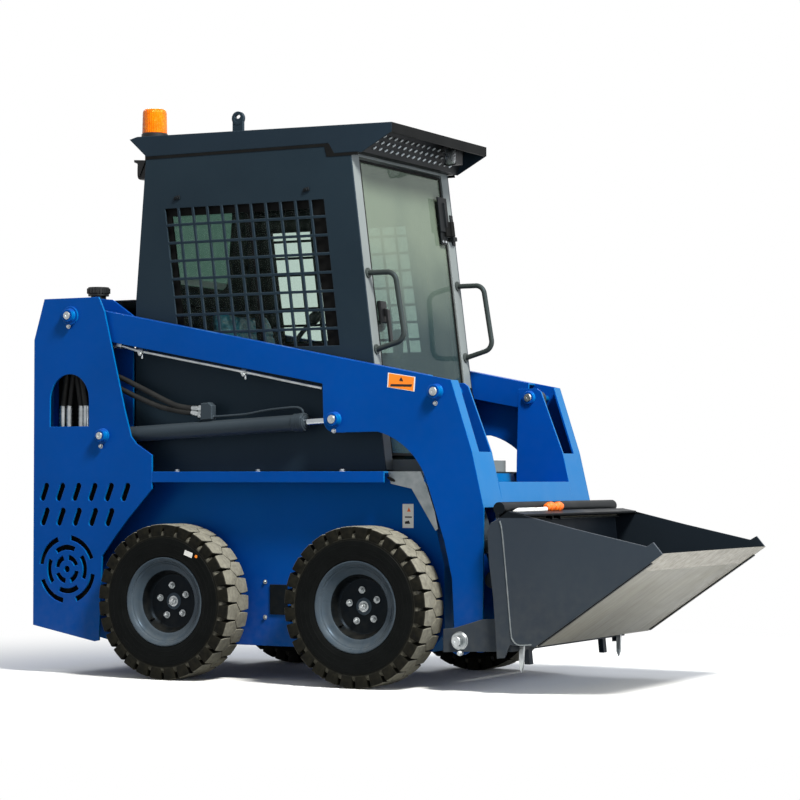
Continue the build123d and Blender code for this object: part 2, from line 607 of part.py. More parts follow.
HANDLE_Y = POST_OUT - 23.0
HANDLE_R = 10.0
HANDLE_Z = (1228.0, 1511.0)
HANDLE_POINTS = [(front_x(HANDLE_Z[1]) + 4, HANDLE_Z[1]), (478.0, HANDLE_Z[1]), (520.0, HANDLE_Z[0] + 34),
                 (front_x(HANDLE_Z[0]) + 4, HANDLE_Z[0])]
HANDLE_FOOT = 5.0
with BuildPart() as grab_handles:
    with BuildLine(side(-HANDLE_Y)) as bend:
        FilletPolyline(*HANDLE_POINTS, radius=38)
    with BuildSketch(Plane(origin=bend.line @ 0, z_dir=bend.line % 0)) as tube:
        Circle(HANDLE_R)
    sweep(tube.sketch, path=bend.line)
    for x, z in (HANDLE_POINTS[0], HANDLE_POINTS[-1]):
        with BuildSketch(FRONT.offset(0.2)) as foot:
            with Locations((-HANDLE_Y, (z - SILL_TOP) / UP)):
                Circle(HANDLE_R + 9)
        extrude(foot.sketch, amount=HANDLE_FOOT)
    mirror(about=Plane.XZ)
keep(grab_handles, "grab_handles")

SEAT_HALF = 215.0
SEAT_REAR = CAB_REAR + 242
SEAT_FRONT = 50.0
CUSHION_Z = (1060.0, 1150.0)
BACKREST_TOP = 1430.0
BACKREST_T = 85.0
BACKREST_LEAN = 75.0
with BuildPart() as seat_base:
    box((SEAT_REAR - 12, -SEAT_HALF, SILL_TOP), (SEAT_FRONT - 20, SEAT_HALF, CUSHION_Z[0]))
keep(seat_base, "seat_base")

with BuildPart() as seat:
    box((SEAT_REAR, -SEAT_HALF - 15, CUSHION_Z[0]), (SEAT_FRONT, SEAT_HALF + 15, CUSHION_Z[1]))
    fillet(seat.edges().filter_by(Axis.Z), 40)
    across([(SEAT_REAR, CUSHION_Z[1]), (SEAT_REAR + BACKREST_T + 15, CUSHION_Z[1]),
            (SEAT_REAR + BACKREST_T - BACKREST_LEAN + 15, BACKREST_TOP),
            (SEAT_REAR - BACKREST_LEAN + 20, BACKREST_TOP)], SEAT_HALF)
    fillet(seat.edges().filter_by(Axis.Y).sort_by(Axis.Z)[-2:], 30)
keep(seat, "seat")

with BuildPart() as control_levers:
    for y in (-160.0, 160.0):
        with BuildSketch(Plane(origin=(WHEEL_MID + 210, y, SILL_TOP))) as foot:
            Circle(32.0)
        extrude(foot.sketch, amount=24)
        with BuildSketch(Plane(origin=(WHEEL_MID + 210, y, SILL_TOP + 20))) as stem:
            Circle(9.0)
        extrude(stem.sketch, amount=420)
        with BuildSketch(Plane(origin=(WHEEL_MID + 210, y, SILL_TOP + 440))) as grip:
            Circle(17.0)
        extrude(grip.sketch, amount=110)
keep(control_levers, "control_levers")

# --- cab door, hinged on the left post ------------------------------------------------------
DOOR_IN = 3.0               # door face behind the posts' front face
DOOR_T = 22.0
DOOR_SIDE = POST_IN - 6.0
DOOR_FOOT = (THRESHOLD_TOP + 16 - SILL_TOP) / UP
DOOR_HEAD = POST_TOP - HEADER - 7
DOOR_RAIL = 26.0
HINGE_R = 5.0
KNUCKLE_R = 11.0
HINGE_Y = POST_IN + 8.0
HINGE_OUT = 17.0            # hinge axis ahead of the posts' front face
HINGE_HEIGHTS = (240.0, 930.0)
KNUCKLE = 60.0

with BuildPart() as cab_door:
    with BuildSketch(FRONT.offset(-DOOR_IN - DOOR_T)) as door_face:
        with Locations((0, (DOOR_FOOT + DOOR_HEAD) / 2)):
            Rectangle(2 * DOOR_SIDE, DOOR_HEAD - DOOR_FOOT)
            Rectangle(2 * (DOOR_SIDE - DOOR_RAIL), DOOR_HEAD - DOOR_FOOT - 2 * DOOR_RAIL, mode=Mode.SUBTRACT)
    extrude(door_face.sketch, amount=DOOR_T)
    for height in HINGE_HEIGHTS:
        with BuildSketch(Plane(origin=FRONT.from_local_coords((HINGE_Y, height, HINGE_OUT)),
                               z_dir=FRONT.y_dir)) as knuckle:
            Circle(KNUCKLE_R)
        extrude(knuckle.sketch, amount=KNUCKLE)
        with BuildSketch(FRONT.offset(-DOOR_IN)) as root:
            with Locations((DOOR_SIDE - 16, height + KNUCKLE / 2)):
                Rectangle(32.0, KNUCKLE)
        extrude(root.sketch, amount=DOOR_IN + HINGE_OUT)
        with BuildSketch(FRONT.offset(HINGE_OUT - 10)) as leaf:
            with Locations(((DOOR_SIDE - 32 + HINGE_Y) / 2, height + KNUCKLE / 2)):
                Rectangle(HINGE_Y - DOOR_SIDE + 32, KNUCKLE)
        extrude(leaf.sketch, amount=10)
        with BuildSketch(Plane(origin=FRONT.from_local_coords((HINGE_Y, height - 1, HINGE_OUT)),
                               z_dir=FRONT.y_dir)) as hole:
            Circle(HINGE_R + RUN)
        extrude(hole.sketch, amount=KNUCKLE + 2, mode=Mode.SUBTRACT)
keep(cab_door, "cab_door")

GLASS_T = 5.0
with BuildPart() as door_glass:
    with BuildSketch(FRONT.offset(-DOOR_IN - DOOR_T / 2)) as pane:
        with Locations((0, (DOOR_FOOT + DOOR_HEAD) / 2)):
            Rectangle(2 * (DOOR_SIDE - DOOR_RAIL), DOOR_HEAD - DOOR_FOOT - 2 * DOOR_RAIL)
    extrude(pane.sketch, amount=GLASS_T)
keep(door_glass, "door_glass")

with BuildPart() as door_hinges:
    for height in HINGE_HEIGHTS:
        with BuildSketch(Plane(origin=FRONT.from_local_coords((HINGE_Y, height - 12, HINGE_OUT)),
                               z_dir=FRONT.y_dir)) as pin:
            Circle(HINGE_R)
        extrude(pin.sketch, amount=KNUCKLE + 8)
        with BuildSketch(FRONT) as foot:
            with Locations((HINGE_Y + 6, height - 9)):
                Rectangle(30.0, 16.0)
        extrude(foot.sketch, amount=HINGE_OUT + 8)
keep(door_hinges, "door_hinges")

rear_lean = (CAB_REAR_TOP - CAB_REAR) / (CAB_TOP - CAB_SHOULDER)
window_x = [CAB_REAR_TOP - (CAB_TOP - edge) * rear_lean for edge in REAR_WINDOW[1:]]
with BuildPart() as rear_glass:
    across(strip([(window_x[1], REAR_WINDOW[2] - 1), (window_x[0], REAR_WINDOW[1] + 1)], GLASS_T),
           REAR_WINDOW[0])
keep(rear_glass, "rear_glass")

# ------------------------------------------------------------------------------------------
# Lift arms
# ------------------------------------------------------------------------------------------
ARM_RISE = 44.0             # beam's top line over the pivot pin
ARM_FALL = 72.0             # beam's bottom line under the pivot pin
ARM_DROP_TOP = (760.0, 1106.0)
ARM_WAIST = (233.0, 1102.0)     # where the lug of the lift cylinder leaves the bottom line
LOBE_R = 48.0
TOE_R = 52.0
WALL_X = 655.0              # rear wall of the drop boxes, at the top
DROP_REAR = [(WALL_X, 1018.0), (649.0, 833.0), (648.0, 745.0), (669.0, 726.0), (699.0, 637.0),
             (734.0, 529.0), (764.0, 400.0), (773.0, 224.0)]
DROP_FRONT = [(844.0, 850.0), (890.0, 652.0), (885.0, 258.0), (846.0, 162.0)]
INNER_TOP = 1100.0
ARM_TOP = ARM_PIVOT[1] + ARM_RISE
ARM_FOOT = ARM_PIVOT[1] - ARM_FALL
ARM_SLOPE = (ARM_TOP - ARM_DROP_TOP[1]) / (ARM_DROP_TOP[0] - ARM_PIVOT[0])
FOOT_SLOPE = (ARM_FOOT - ARM_WAIST[1]) / (ARM_WAIST[0] - ARM_PIVOT[0])


def top_z(x):
    """Top line of an arm at x."""
    return ARM_TOP - (x - ARM_PIVOT[0]) * ARM_SLOPE


def foot_z(x):
    """Bottom line of an arm's beam at x."""
    return ARM_FOOT - (x - ARM_PIVOT[0]) * FOOT_SLOPE


with BuildPart() as arm_beams:
    # outer cheek, one plate from the pivot to the toe
    with BuildSketch(side(-ARM_OUT + ARM_PLATE)) as cheek:
        with BuildLine():
            Polyline((462.0, 924.0), (LIFT_EYE[0], LIFT_EYE[1] - LOBE_R),
                     (LIFT_EYE[0] - LOBE_R, LIFT_EYE[1]), ARM_WAIST,
                     (ARM_PIVOT[0], ARM_FOOT), (ARM_PIVOT[0], ARM_TOP), ARM_DROP_TOP,
                     *DROP_FRONT, (773.0, 162.0), *reversed(DROP_REAR[3:]))
            ThreePointArc((462.0, 924.0), (578.0, 866.0), DROP_REAR[3])
        make_face()
        with Locations(ARM_PIVOT):
            Circle(62.0)
        with Locations(LIFT_EYE):
            Circle(LOBE_R)
        with Locations(BUCKET_PIVOT):
            Circle(TOE_R)
    extrude(cheek.sketch, amount=ARM_PLATE)
    # inner cheek of the beam, beside the cab
    with BuildSketch(side(-ARM_IN)) as beam:
        with BuildLine():
            Polyline((ARM_PIVOT[0], ARM_TOP), (WALL_X, top_z(WALL_X)), (WALL_X, foot_z(WALL_X)),
                     (345.0, foot_z(345.0)), (LIFT_EYE[0] + LOBE_R, LIFT_EYE[1]),
                     (LIFT_EYE[0] - LOBE_R, LIFT_EYE[1]), ARM_WAIST,
                     (ARM_PIVOT[0], ARM_FOOT), close=True)
        make_face()
        with Locations(ARM_PIVOT):
            Circle(62.0)
        with Locations(LIFT_EYE):
            Circle(LOBE_R)
    extrude(beam.sketch, amount=ARM_PLATE)
    # top and bottom strips of the beam
    strip_x = (ARM_PIVOT[0] + 90, WALL_X)
    plate([(strip_x[0], top_z(strip_x[0])), (strip_x[1], top_z(strip_x[1])),
           (strip_x[1], top_z(strip_x[1]) - ARM_PLATE), (strip_x[0], top_z(strip_x[0]) - ARM_PLATE)],
          ARM_IN + ARM_PLATE, ARM_OUT - ARM_PLATE)
    plate([(strip_x[0], foot_z(strip_x[0]) + ARM_PLATE), (strip_x[1], foot_z(strip_x[1]) + ARM_PLATE),
           (strip_x[1], foot_z(strip_x[1])), (strip_x[0], foot_z(strip_x[0]))],
          ARM_IN + ARM_PLATE, ARM_OUT - ARM_PLATE)
    # pivot boss and bores
    round_bar(ARM_PIVOT, PIVOT_R + 20, ARM_IN + ARM_PLATE, ARM_OUT - ARM_PLATE)
    round_bar(ARM_PIVOT, PIVOT_R + RUN, ARM_IN - 1, ARM_OUT + 1, Mode.SUBTRACT)
    round_bar(BUCKET_PIVOT, BUCKET_PIN_R + RUN, ARM_OUT - ARM_PLATE - 1, ARM_OUT + 1, Mode.SUBTRACT)
    # heads of the cylinders' pins
    round_bar(TILT_TOP, 25.0, ARM_OUT, ARM_OUT + 8)
    round_bar(LIFT_EYE, 26.0, ARM_OUT, ARM_OUT + 8)
    mirror(about=Plane.XZ)
keep(arm_beams, "arm_beams")

with BuildPart() as arm_drop_boxes:
    # inner cheek
    with BuildSketch(side(-DROP_IN)) as inner:
        with BuildLine():
            Polyline((WALL_X, INNER_TOP), (735.0, INNER_TOP), (752.0, 1088.0), *DROP_FRONT, (773.0, 162.0),
                     *reversed(DROP_REAR), close=True)
        make_face()
        with Locations(BUCKET_PIVOT):
            Circle(TOE_R)
    extrude(inner.sketch, amount=ARM_PLATE)
    # rear wall, front cover and front flange
    wall = [(WALL_X, INNER_TOP)] + DROP_REAR[:-1] + [(771.0, 262.0)]
    plate(strip(wall, ARM_PLATE), DROP_IN + ARM_PLATE, ARM_OUT - ARM_PLATE)
    plate(strip([DROP_FRONT[1], DROP_FRONT[0]], ARM_PLATE), DROP_IN + ARM_PLATE, ARM_OUT - ARM_PLATE)
    plate(strip([DROP_FRONT[0], ARM_DROP_TOP], ARM_PLATE), ARM_OUT - ARM_PLATE - 50, ARM_OUT - ARM_PLATE)
    # pin of the tilt cylinder, boss and bore of the bucket's pivot
    round_bar(TILT_TOP, TILT_PIN_R, DROP_IN - 7, ARM_OUT - ARM_PLATE)
    round_bar(BUCKET_PIVOT, BUCKET_PIN_R + 22, DROP_IN + ARM_PLATE, ARM_OUT - ARM_PLATE)
    round_bar(BUCKET_PIVOT, BUCKET_PIN_R + RUN, DROP_IN - 1, ARM_OUT - ARM_PLATE + 1, Mode.SUBTRACT)
    mirror(about=Plane.XZ)
keep(arm_drop_boxes, "arm_drop_boxes")

CROSS = [(782.0, 655.0), (889.0, 655.0), (870.0, 742.0), (782.0, 742.0)]
with BuildPart() as arm_crossmember:
    across(CROSS, DROP_IN)
    with BuildSketch(side(DROP_IN)) as bore:
        with BuildLine():
            Polyline(*CROSS, close=True)
        make_face()
        offset(amount=-ARM_PLATE, kind=Kind.INTERSECTION)
    extrude(bore.sketch, amount=2 * DROP_IN, mode=Mode.SUBTRACT)
keep(arm_crossmember, "arm_crossmember")


# ------------------------------------------------------------------------------------------
# Cylinders: local z runs from the base pin to the rod's eye
# ------------------------------------------------------------------------------------------
def along(base, eye, y, distance):
    """Plane square to a right-hand cylinder, a distance from its base pin."""
    (bx, bz), (ex, ez) = base, eye
    run = Vector(ex - bx, 0, ez - bz).normalized()
    start = Vector(WHEEL_MID + bx, -y, bz) + run * distance
    return Plane(origin=start, x_dir=(0, 1, 0), z_dir=run)


def rod_length(base, eye):
    """Distance from base pin to eye, cylinder closed."""
    return Vector(eye[0] - base[0], eye[1] - base[1], 0).length


def tube(base, eye, y, start, stop, radius, mode=Mode.ADD):
    """Round length of a cylinder between two distances from its base pin."""
    with BuildSketch(along(base, eye, y, start)) as ring:
        Circle(radius)
    extrude(ring.sketch, amount=stop - start, mode=mode)


CYLINDERS = [  # name, base, eye, y, barrel r, barrel length, rod r, eye r, pin r
    ("lift", LIFT_BASE, LIFT_EYE, LIFT_Y, LIFT_BARREL_R, LIFT_BARREL_L, LIFT_ROD_R, LIFT_EYE_R, LIFT_PIN_R),
    ("tilt", TILT_TOP, TILT_EYE, TILT_Y, TILT_BARREL_R, TILT_BARREL_L, TILT_ROD_R, TILT_EYE_R, TILT_PIN_R),
]
for name, base, eye, y, barrel_r, barrel_l, rod_r, eye_r, pin_r in CYLINDERS:
    inside = eye_r + 50
    with BuildPart() as barrels:
        round_bar(base, eye_r, y - CYL_EYE_W / 2, y + CYL_EYE_W / 2)
        tube(base, eye, y, eye_r * 0.5, barrel_l, barrel_r)
        tube(base, eye, y, barrel_l - 46, barrel_l, barrel_r + 3)
        round_bar(base, pin_r + RUN, y - barrel_r - 1, y + barrel_r + 1, Mode.SUBTRACT)
        tube(base, eye, y, inside, barrel_l + 1, rod_r + RUN, Mode.SUBTRACT)
        mirror(about=Plane.XZ)
    keep(barrels, f"{name}_barrels")

    with BuildPart() as rods:
        round_bar(eye, eye_r, y - CYL_EYE_W / 2, y + CYL_EYE_W / 2)
        tube(base, eye, y, inside + 8, rod_length(base, eye) - eye_r * 0.5, rod_r)
        mirror(about=Plane.XZ)
    keep(rods, f"{name}_rods")

# ------------------------------------------------------------------------------------------
# Coupler and bucket
# ------------------------------------------------------------------------------------------
BACK_TOP = (966.0, 612.0)
BACK_FOOT = (1012.0, 174.0)
HEEL = (1110.0, 171.0)
COUPLER_T = 12.0
COUPLER_Z = (150.0, 634.0)
HOOK_R = 22.0
LOCK_Y = 330.0
LOCK_FOOT = 95.0
EDGE_LENGTH = 112.0
EDGE_T = 14.0


def back_x(z):
    """Rear face of the bucket at a height."""
    return BACK_TOP[0] + (BACK_TOP[1] - z) / (BACK_TOP[1] - BACK_FOOT[1]) * (BACK_FOOT[0] - BACK_TOP[0])


with BuildPart() as coupler:
    rear = COUPLER_T
    across([(back_x(COUPLER_Z[1]) - rear, COUPLER_Z[1]), (back_x(COUPLER_Z[1]), COUPLER_Z[1]),
            (back_x(COUPLER_Z[0]), COUPLER_Z[0]), (back_x(COUPLER_Z[0]) - rear, COUPLER_Z[0])],
           BUCKET_HALF - BUCKET_SHEET - 1)
    # pivot ears outside and inside each arm, and the pin through them
    ear = [(737.0, 139.0), (back_x(150.0) - rear, 150.0), (back_x(265.0) - rear, 265.0), (892.0, 259.0),
           (780.0, 225.0), (737.0, 221.0)]
    for inner in (ARM_OUT + EAR_GAP, DROP_IN - EAR_GAP - EAR_PLATE):
        plate(ear, inner, inner + EAR_PLATE)
    round_bar(BUCKET_PIVOT, BUCKET_PIN_R, DROP_IN - EAR_GAP - EAR_PLATE, ARM_OUT + EAR_GAP + EAR_PLATE)
    round_bar(BUCKET_PIVOT, BUCKET_PIN_R + 9, ARM_OUT + EAR_GAP + EAR_PLATE,
              ARM_OUT + EAR_GAP + EAR_PLATE + 6)
    # ears of the tilt cylinders
    reach = TILT_EYE_R + 2
    arm_ear = [(TILT_EYE[0], TILT_EYE[1] + reach), (TILT_EYE[0], TILT_EYE[1] - reach),
               (back_x(330.0) - rear, 330.0), (back_x(440.0) - rear, 440.0)]
    for inner in (TILT_Y + CYL_EYE_W / 2 + EAR_GAP, TILT_Y - CYL_EYE_W / 2 - EAR_GAP - EAR_PLATE):
        plate(arm_ear, inner, inner + EAR_PLATE)
        round_bar(TILT_EYE, reach, inner, inner + EAR_PLATE)
    # lock wedges under the bucket's lip
    plate([(back_x(100.0) - rear - 18, LOCK_FOOT), (back_x(100.0) - rear + 2, LOCK_FOOT),
           (back_x(240.0) - rear + 2, 240.0), (back_x(240.0) - rear - 18, 240.0)], LOCK_Y - 15, LOCK_Y + 15)
    mirror(about=Plane.XZ)
    # hook tube along the top
    round_bar((back_x(COUPLER_Z[1]), COUPLER_Z[1] + 16), HOOK_R, -(BUCKET_HALF - 14), BUCKET_HALF - 14)
keep(coupler, "coupler")

FLOOR = Vector(BUCKET_TIP[0] - HEEL[0], BUCKET_TIP[1] - HEEL[1], 0).normalized()
FLOOR_LENGTH = Vector(BUCKET_TIP[0] - HEEL[0], BUCKET_TIP[1] - HEEL[1], 0).length


def floor_point(distance, rise=0.0):
    """Point on the bucket's underside, a distance from the heel and a rise square to it."""
    return (HEEL[0] + FLOOR.X * distance - FLOOR.Y * rise, HEEL[1] + FLOOR.Y * distance + FLOOR.X * rise)


EDGE_START = FLOOR_LENGTH - EDGE_LENGTH
with BuildPart() as bucket:
    across(strip([(1064.0, 630.0), (1005.0, 640.0), BACK_TOP, BACK_FOOT, HEEL, floor_point(EDGE_START)],
                 BUCKET_SHEET), BUCKET_HALF - BUCKET_SHEET)
    cheek = [(1005.0, 640.0), BACK_TOP, (940.0, 600.0), (924.0, 571.0), (932.0, 459.0), (948.0, 333.0),
             (962.0, 125.0), (990.0, 128.0), BACK_FOOT, HEEL, floor_point(FLOOR_LENGTH - 3), (1550.0, 538.0),
             (1525.0, 524.0), (1264.0, 580.0)]
    plate(cheek, BUCKET_HALF - BUCKET_SHEET, BUCKET_HALF)
    plate(cheek, -BUCKET_HALF, -BUCKET_HALF + BUCKET_SHEET)
keep(bucket, "bucket")

with BuildPart() as cutting_edge:
    across([floor_point(EDGE_START), floor_point(FLOOR_LENGTH), floor_point(FLOOR_LENGTH - 22, EDGE_T),
            floor_point(EDGE_START, EDGE_T)], BUCKET_HALF - BUCKET_SHEET)
keep(cutting_edge, "cutting_edge")
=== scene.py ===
# %% [markdown]
# # A skid steer loader, dressed
#
# The machine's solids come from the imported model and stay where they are. This lesson gives them
# their paint, rubber, glass and steel, and adds what the solids leave plain: the tyres' tread, the
# bolts and pins, the hydraulic pipes and hoses, the seat's cushions and the small fittings of the
# cab. Everything is in metres, +X towards the bucket and +Z up.

# %% Load the frame and find the wheelbase
import math

import bmesh
import bpy
import numpy as np
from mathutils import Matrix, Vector


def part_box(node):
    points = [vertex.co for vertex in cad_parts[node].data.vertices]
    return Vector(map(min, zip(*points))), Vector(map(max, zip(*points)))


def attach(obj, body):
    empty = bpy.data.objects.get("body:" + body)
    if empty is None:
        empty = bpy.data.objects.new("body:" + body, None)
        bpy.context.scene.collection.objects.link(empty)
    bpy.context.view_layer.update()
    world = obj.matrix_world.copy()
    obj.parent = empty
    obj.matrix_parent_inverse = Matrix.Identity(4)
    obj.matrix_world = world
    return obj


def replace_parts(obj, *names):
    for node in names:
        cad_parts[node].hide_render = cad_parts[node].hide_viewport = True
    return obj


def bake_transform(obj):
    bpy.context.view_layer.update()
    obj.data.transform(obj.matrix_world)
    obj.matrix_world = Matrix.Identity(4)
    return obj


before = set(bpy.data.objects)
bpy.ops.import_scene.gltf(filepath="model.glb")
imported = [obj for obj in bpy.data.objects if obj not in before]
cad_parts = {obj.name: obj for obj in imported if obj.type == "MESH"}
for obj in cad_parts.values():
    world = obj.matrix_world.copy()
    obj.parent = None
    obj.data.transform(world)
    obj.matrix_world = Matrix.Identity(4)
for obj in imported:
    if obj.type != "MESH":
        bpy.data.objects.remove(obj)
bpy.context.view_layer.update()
MM = 0.001
SIDES = (("right", -1), ("left", 1))    # of the machine, and the sign of y there
UP, BACK = (0, 0, 1), (-1, 0, 0)


def middle(name):
    """Centre of a node's box."""
    low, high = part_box(name)
    return (np.array(low) + np.array(high)) / 2


FRONT_AXLE = middle("tyre_front_right")[0]
REAR_AXLE = middle("tyre_rear_right")[0]
AXLE_Z = middle("tyre_front_right")[2]
MID = (FRONT_AXLE + REAR_AXLE) / 2
print("wheelbase", round(FRONT_AXLE - REAR_AXLE, 3), "m, middle at x", round(MID, 4))


def at(x, y, z):
    """A place given in millimetres, with x forward from the middle of the wheelbase."""
    return np.array([MID + x * MM, y * MM, z * MM])


# %% [markdown]
# ## The camera
#
# A long lens, low down and far off, ahead of the right front wheel. Its place was worked out from
# the wheels, the sill and the cab, whose sizes are known, so the machine is seen from there as it
# stands. The lens has no shift, and nothing is out of focus.

# %% Camera
CAMERA_PLACE = at(4695.2, -8219.9, 759.1)
CAMERA_TURN = math.radians(28.115)      # from straight along +Y, towards -X
CAMERA_RISE = math.radians(1.811)
LENS = 109.88

camera_data = bpy.data.cameras.new("camera")
camera_data.lens = LENS
camera_data.sensor_width = 36.0
camera_data.clip_end = 60.0
camera = bpy.data.objects.new("camera", camera_data)
bpy.context.scene.collection.objects.link(camera)
camera.location = CAMERA_PLACE
camera.rotation_euler = (math.pi / 2 + CAMERA_RISE, 0.0, CAMERA_TURN)
bpy.context.scene.camera = camera
bpy.context.scene.view_settings.view_transform = "Standard"
print("camera", [round(float(v), 3) for v in CAMERA_PLACE])

# %% [markdown]
# ## Light, floor and a white room
#
# Product pictures of machines are lit by wide, soft sources so that big painted panels read as one
# tone each. Here the sky itself gives an even light, one lamp high ahead of the right shoulder gives
# the shapes, a low wide one fills the faces that look forward, and a third lights the far side. A
# pale sheet under the wheels keeps a soft shadow, and the far background is plain white.


# %% Colours and nodes
def linear(hex_colour):
    """Linear RGBA of an sRGB hex colour: the curve is a short straight part and a power of 2.4."""
    srgb = np.array([int(hex_colour[i:i + 2], 16) for i in (1, 3, 5)]) / 255
    rgb = np.where(srgb <= 0.04045, srgb / 12.92, ((srgb + 0.055) / 1.055) ** 2.4)
    return (*rgb.tolist(), 1.0)


def node(tree, kind, inputs=None, **settings):
    """Add a node, with its settings; each input is a number, a colour or another node's socket."""
    made = tree.nodes.new(kind)
    for name, value in settings.items():
        setattr(made, name, value)
    for key, value in (inputs or {}).items():
        if isinstance(value, bpy.types.NodeSocket):
            tree.links.new(value, made.inputs[key])
        else:
            made.inputs[key].default_value = value
    return made


print("mid grey in linear light", round(linear("#808080")[0], 3))

# %% Sky
SKY_STRENGTH = 0.42
world = bpy.data.worlds.new("studio")
bpy.context.scene.world = world
world.use_nodes = True
sky = world.node_tree
sky.nodes.clear()
rays = node(sky, "ShaderNodeLightPath")
room_light = node(sky, "ShaderNodeBackground", {"Color": linear("#F4F7FC"), "Strength": SKY_STRENGTH})
backdrop = node(sky, "ShaderNodeBackground", {"Color": linear("#FFFFFF"), "Strength": 1.0})
straight = node(sky, "ShaderNodeMath", {0: rays.outputs["Is Camera Ray"],
                                        1: rays.outputs["Is Transmission Ray"]}, operation="MAXIMUM")
looked_at = node(sky, "ShaderNodeMath", {0: straight.outputs[0], 1: rays.outputs["Is Glossy Ray"]},
                 operation="MAXIMUM")
shown = node(sky, "ShaderNodeMixShader", {"Fac": looked_at.outputs[0], 1: room_light.outputs[0],
                                          2: backdrop.outputs[0]})
node(sky, "ShaderNodeOutputWorld", {"Surface": shown.outputs[0]})
print("sky of strength", SKY_STRENGTH)


# %% Lamps that light the machine
def lamp(name, place, aim, width, watts, tint="#FFFFFF"):
    """A square soft lamp at `place` that faces `aim`, both in metres."""
    data = bpy.data.lights.new(name, "AREA")
    data.size = width
    data.energy = watts
    data.color = linear(tint)[:3]
    made = bpy.data.objects.new(name, data)
    made.location = place
    made.rotation_euler = (Vector(aim) - Vector(place)).to_track_quat("-Z", "Y").to_euler()
    bpy.context.scene.collection.objects.link(made)


HEART = Vector(at(0, 0, 900))
lamp("key_lamp", HEART + Vector((4.7, -2.8, 5.8)), HEART, 1.5, 1150, "#FFFCF4")
lamp("front_fill", HEART + Vector((7.5, -1.0, 1.6)), HEART, 3.0, 260, "#F2F7FF")
lamp("far_side", HEART + Vector((-4.6, 5.4, 4.4)), HEART, 2.6, 260, "#F6FAFF")

# %% The paper under the wheels
FLOOR_HALF = 9.0
FLOOR_DROP = 0.0005                 # below the tyres, so that the two never flicker
FADE_MIDDLE = (-0.15, 0.0, 0.0)     # the sheet fades into the white room away from the wheels
FADE_START, FADE_END = 1.2, 3.0
floor_mesh = bpy.data.meshes.new("floor")
corners = np.array([(-1, -1, 0), (1, -1, 0), (1, 1, 0), (-1, 1, 0)]) * (FLOOR_HALF, FLOOR_HALF, 0)
floor_mesh.from_pydata((corners - (0, 0, FLOOR_DROP)).tolist(), [], [(0, 1, 2, 3)])
studio_floor = bpy.data.objects.new("studio_floor", floor_mesh)
bpy.context.scene.collection.objects.link(studio_floor)
paper = bpy.data.materials.new("matt_paper")
paper.use_nodes = True
tree = paper.node_tree
grey_sheet = tree.nodes["Principled BSDF"]
grey_sheet.inputs["Roughness"].default_value = 0.9
grey_sheet.inputs["Specular IOR Level"].default_value = 0.1
spot = node(tree, "ShaderNodeTexCoord").outputs["Object"]
reach = node(tree, "ShaderNodeVectorMath", {0: spot, 1: FADE_MIDDLE}, operation="DISTANCE")
faded = node(tree, "ShaderNodeMapRange", {"Value": reach.outputs["Value"], "From Min": FADE_START,
                                          "From Max": FADE_END}, interpolation_type="SMOOTHSTEP")
rays = node(tree, "ShaderNodeLightPath")
seen = node(tree, "ShaderNodeMath", {0: rays.outputs["Is Camera Ray"], 1: rays.outputs["Is Glossy Ray"]},
            operation="MAXIMUM")
white = node(tree, "ShaderNodeEmission", {"Color": linear("#FFFFFF"), "Strength": 1.0})
# the eye sees white paper; the light that it throws up under the machine is that of grey ground
seen_as = node(tree, "ShaderNodeMix", {"Factor": seen.outputs[0], 6: linear("#8A8A86"),
                                       7: linear("#F2F3F4")}, data_type="RGBA").outputs[2]
tree.links.new(seen_as, grey_sheet.inputs["Base Color"])
fade = node(tree, "ShaderNodeMath", {0: faded.outputs["Result"], 1: seen.outputs[0]}, operation="MULTIPLY")
sheet = node(tree, "ShaderNodeMixShader", {"Fac": fade.outputs[0], 1: grey_sheet.outputs[0],
                                           2: white.outputs[0]})
tree.links.new(sheet.outputs[0], tree.nodes["Material Output"].inputs["Surface"])
floor_mesh.materials.append(paper)
print("floor", 2 * FLOOR_HALF, "m wide")

# %% [markdown]
# ## What each finish is made of
#
# A node material starts as a plain shader with values from what the real finish is. Then noise in
# real millimetres adds the parts that differ from place to place: a coat that is a little thicker
# here than there, dust that settles low down, and rough patches that dull the shine.


# %% Starting a finish
finishes = {}


def new_finish(name, **shader_values):
    """Start a finish with one Principled shader set up, and keep it under its name. Gives its node
    tree, its shader, and the place of each point."""
    material = finishes[name] = bpy.data.materials.new(name)
    material.use_nodes = True
    tree = material.node_tree
    shader = tree.nodes["Principled BSDF"]
    for key, value in shader_values.items():
        shader.inputs[key.replace("_", " ")].default_value = value
    return tree, shader, node(tree, "ShaderNodeTexCoord").outputs["Object"]


def cloudy(tree, place, size, low, high, detail=3.0):
    """A factor that drifts between low and high in patches about `size` metres across."""
    noise = node(tree, "ShaderNodeTexNoise", {"Vector": place, "Scale": 1 / size, "Detail": detail})
    drift = node(tree, "ShaderNodeMapRange", {"Value": noise.outputs["Fac"], "From Min": 0.32,
                                              "From Max": 0.68, "To Min": low, "To Max": high})
    return drift.outputs["Result"]


def two_tones(tree, place, size, colour, shade, detail=3.0):
    """A colour that drifts to a near shade of it and back, in patches about `size` metres across."""
    patch = cloudy(tree, place, size, 0.0, 1.0, detail)
    return node(tree, "ShaderNodeMix", {"Factor": patch, 6: linear(colour), 7: linear(shade)},
                data_type="RGBA").outputs[2]


print("finish helpers ready")
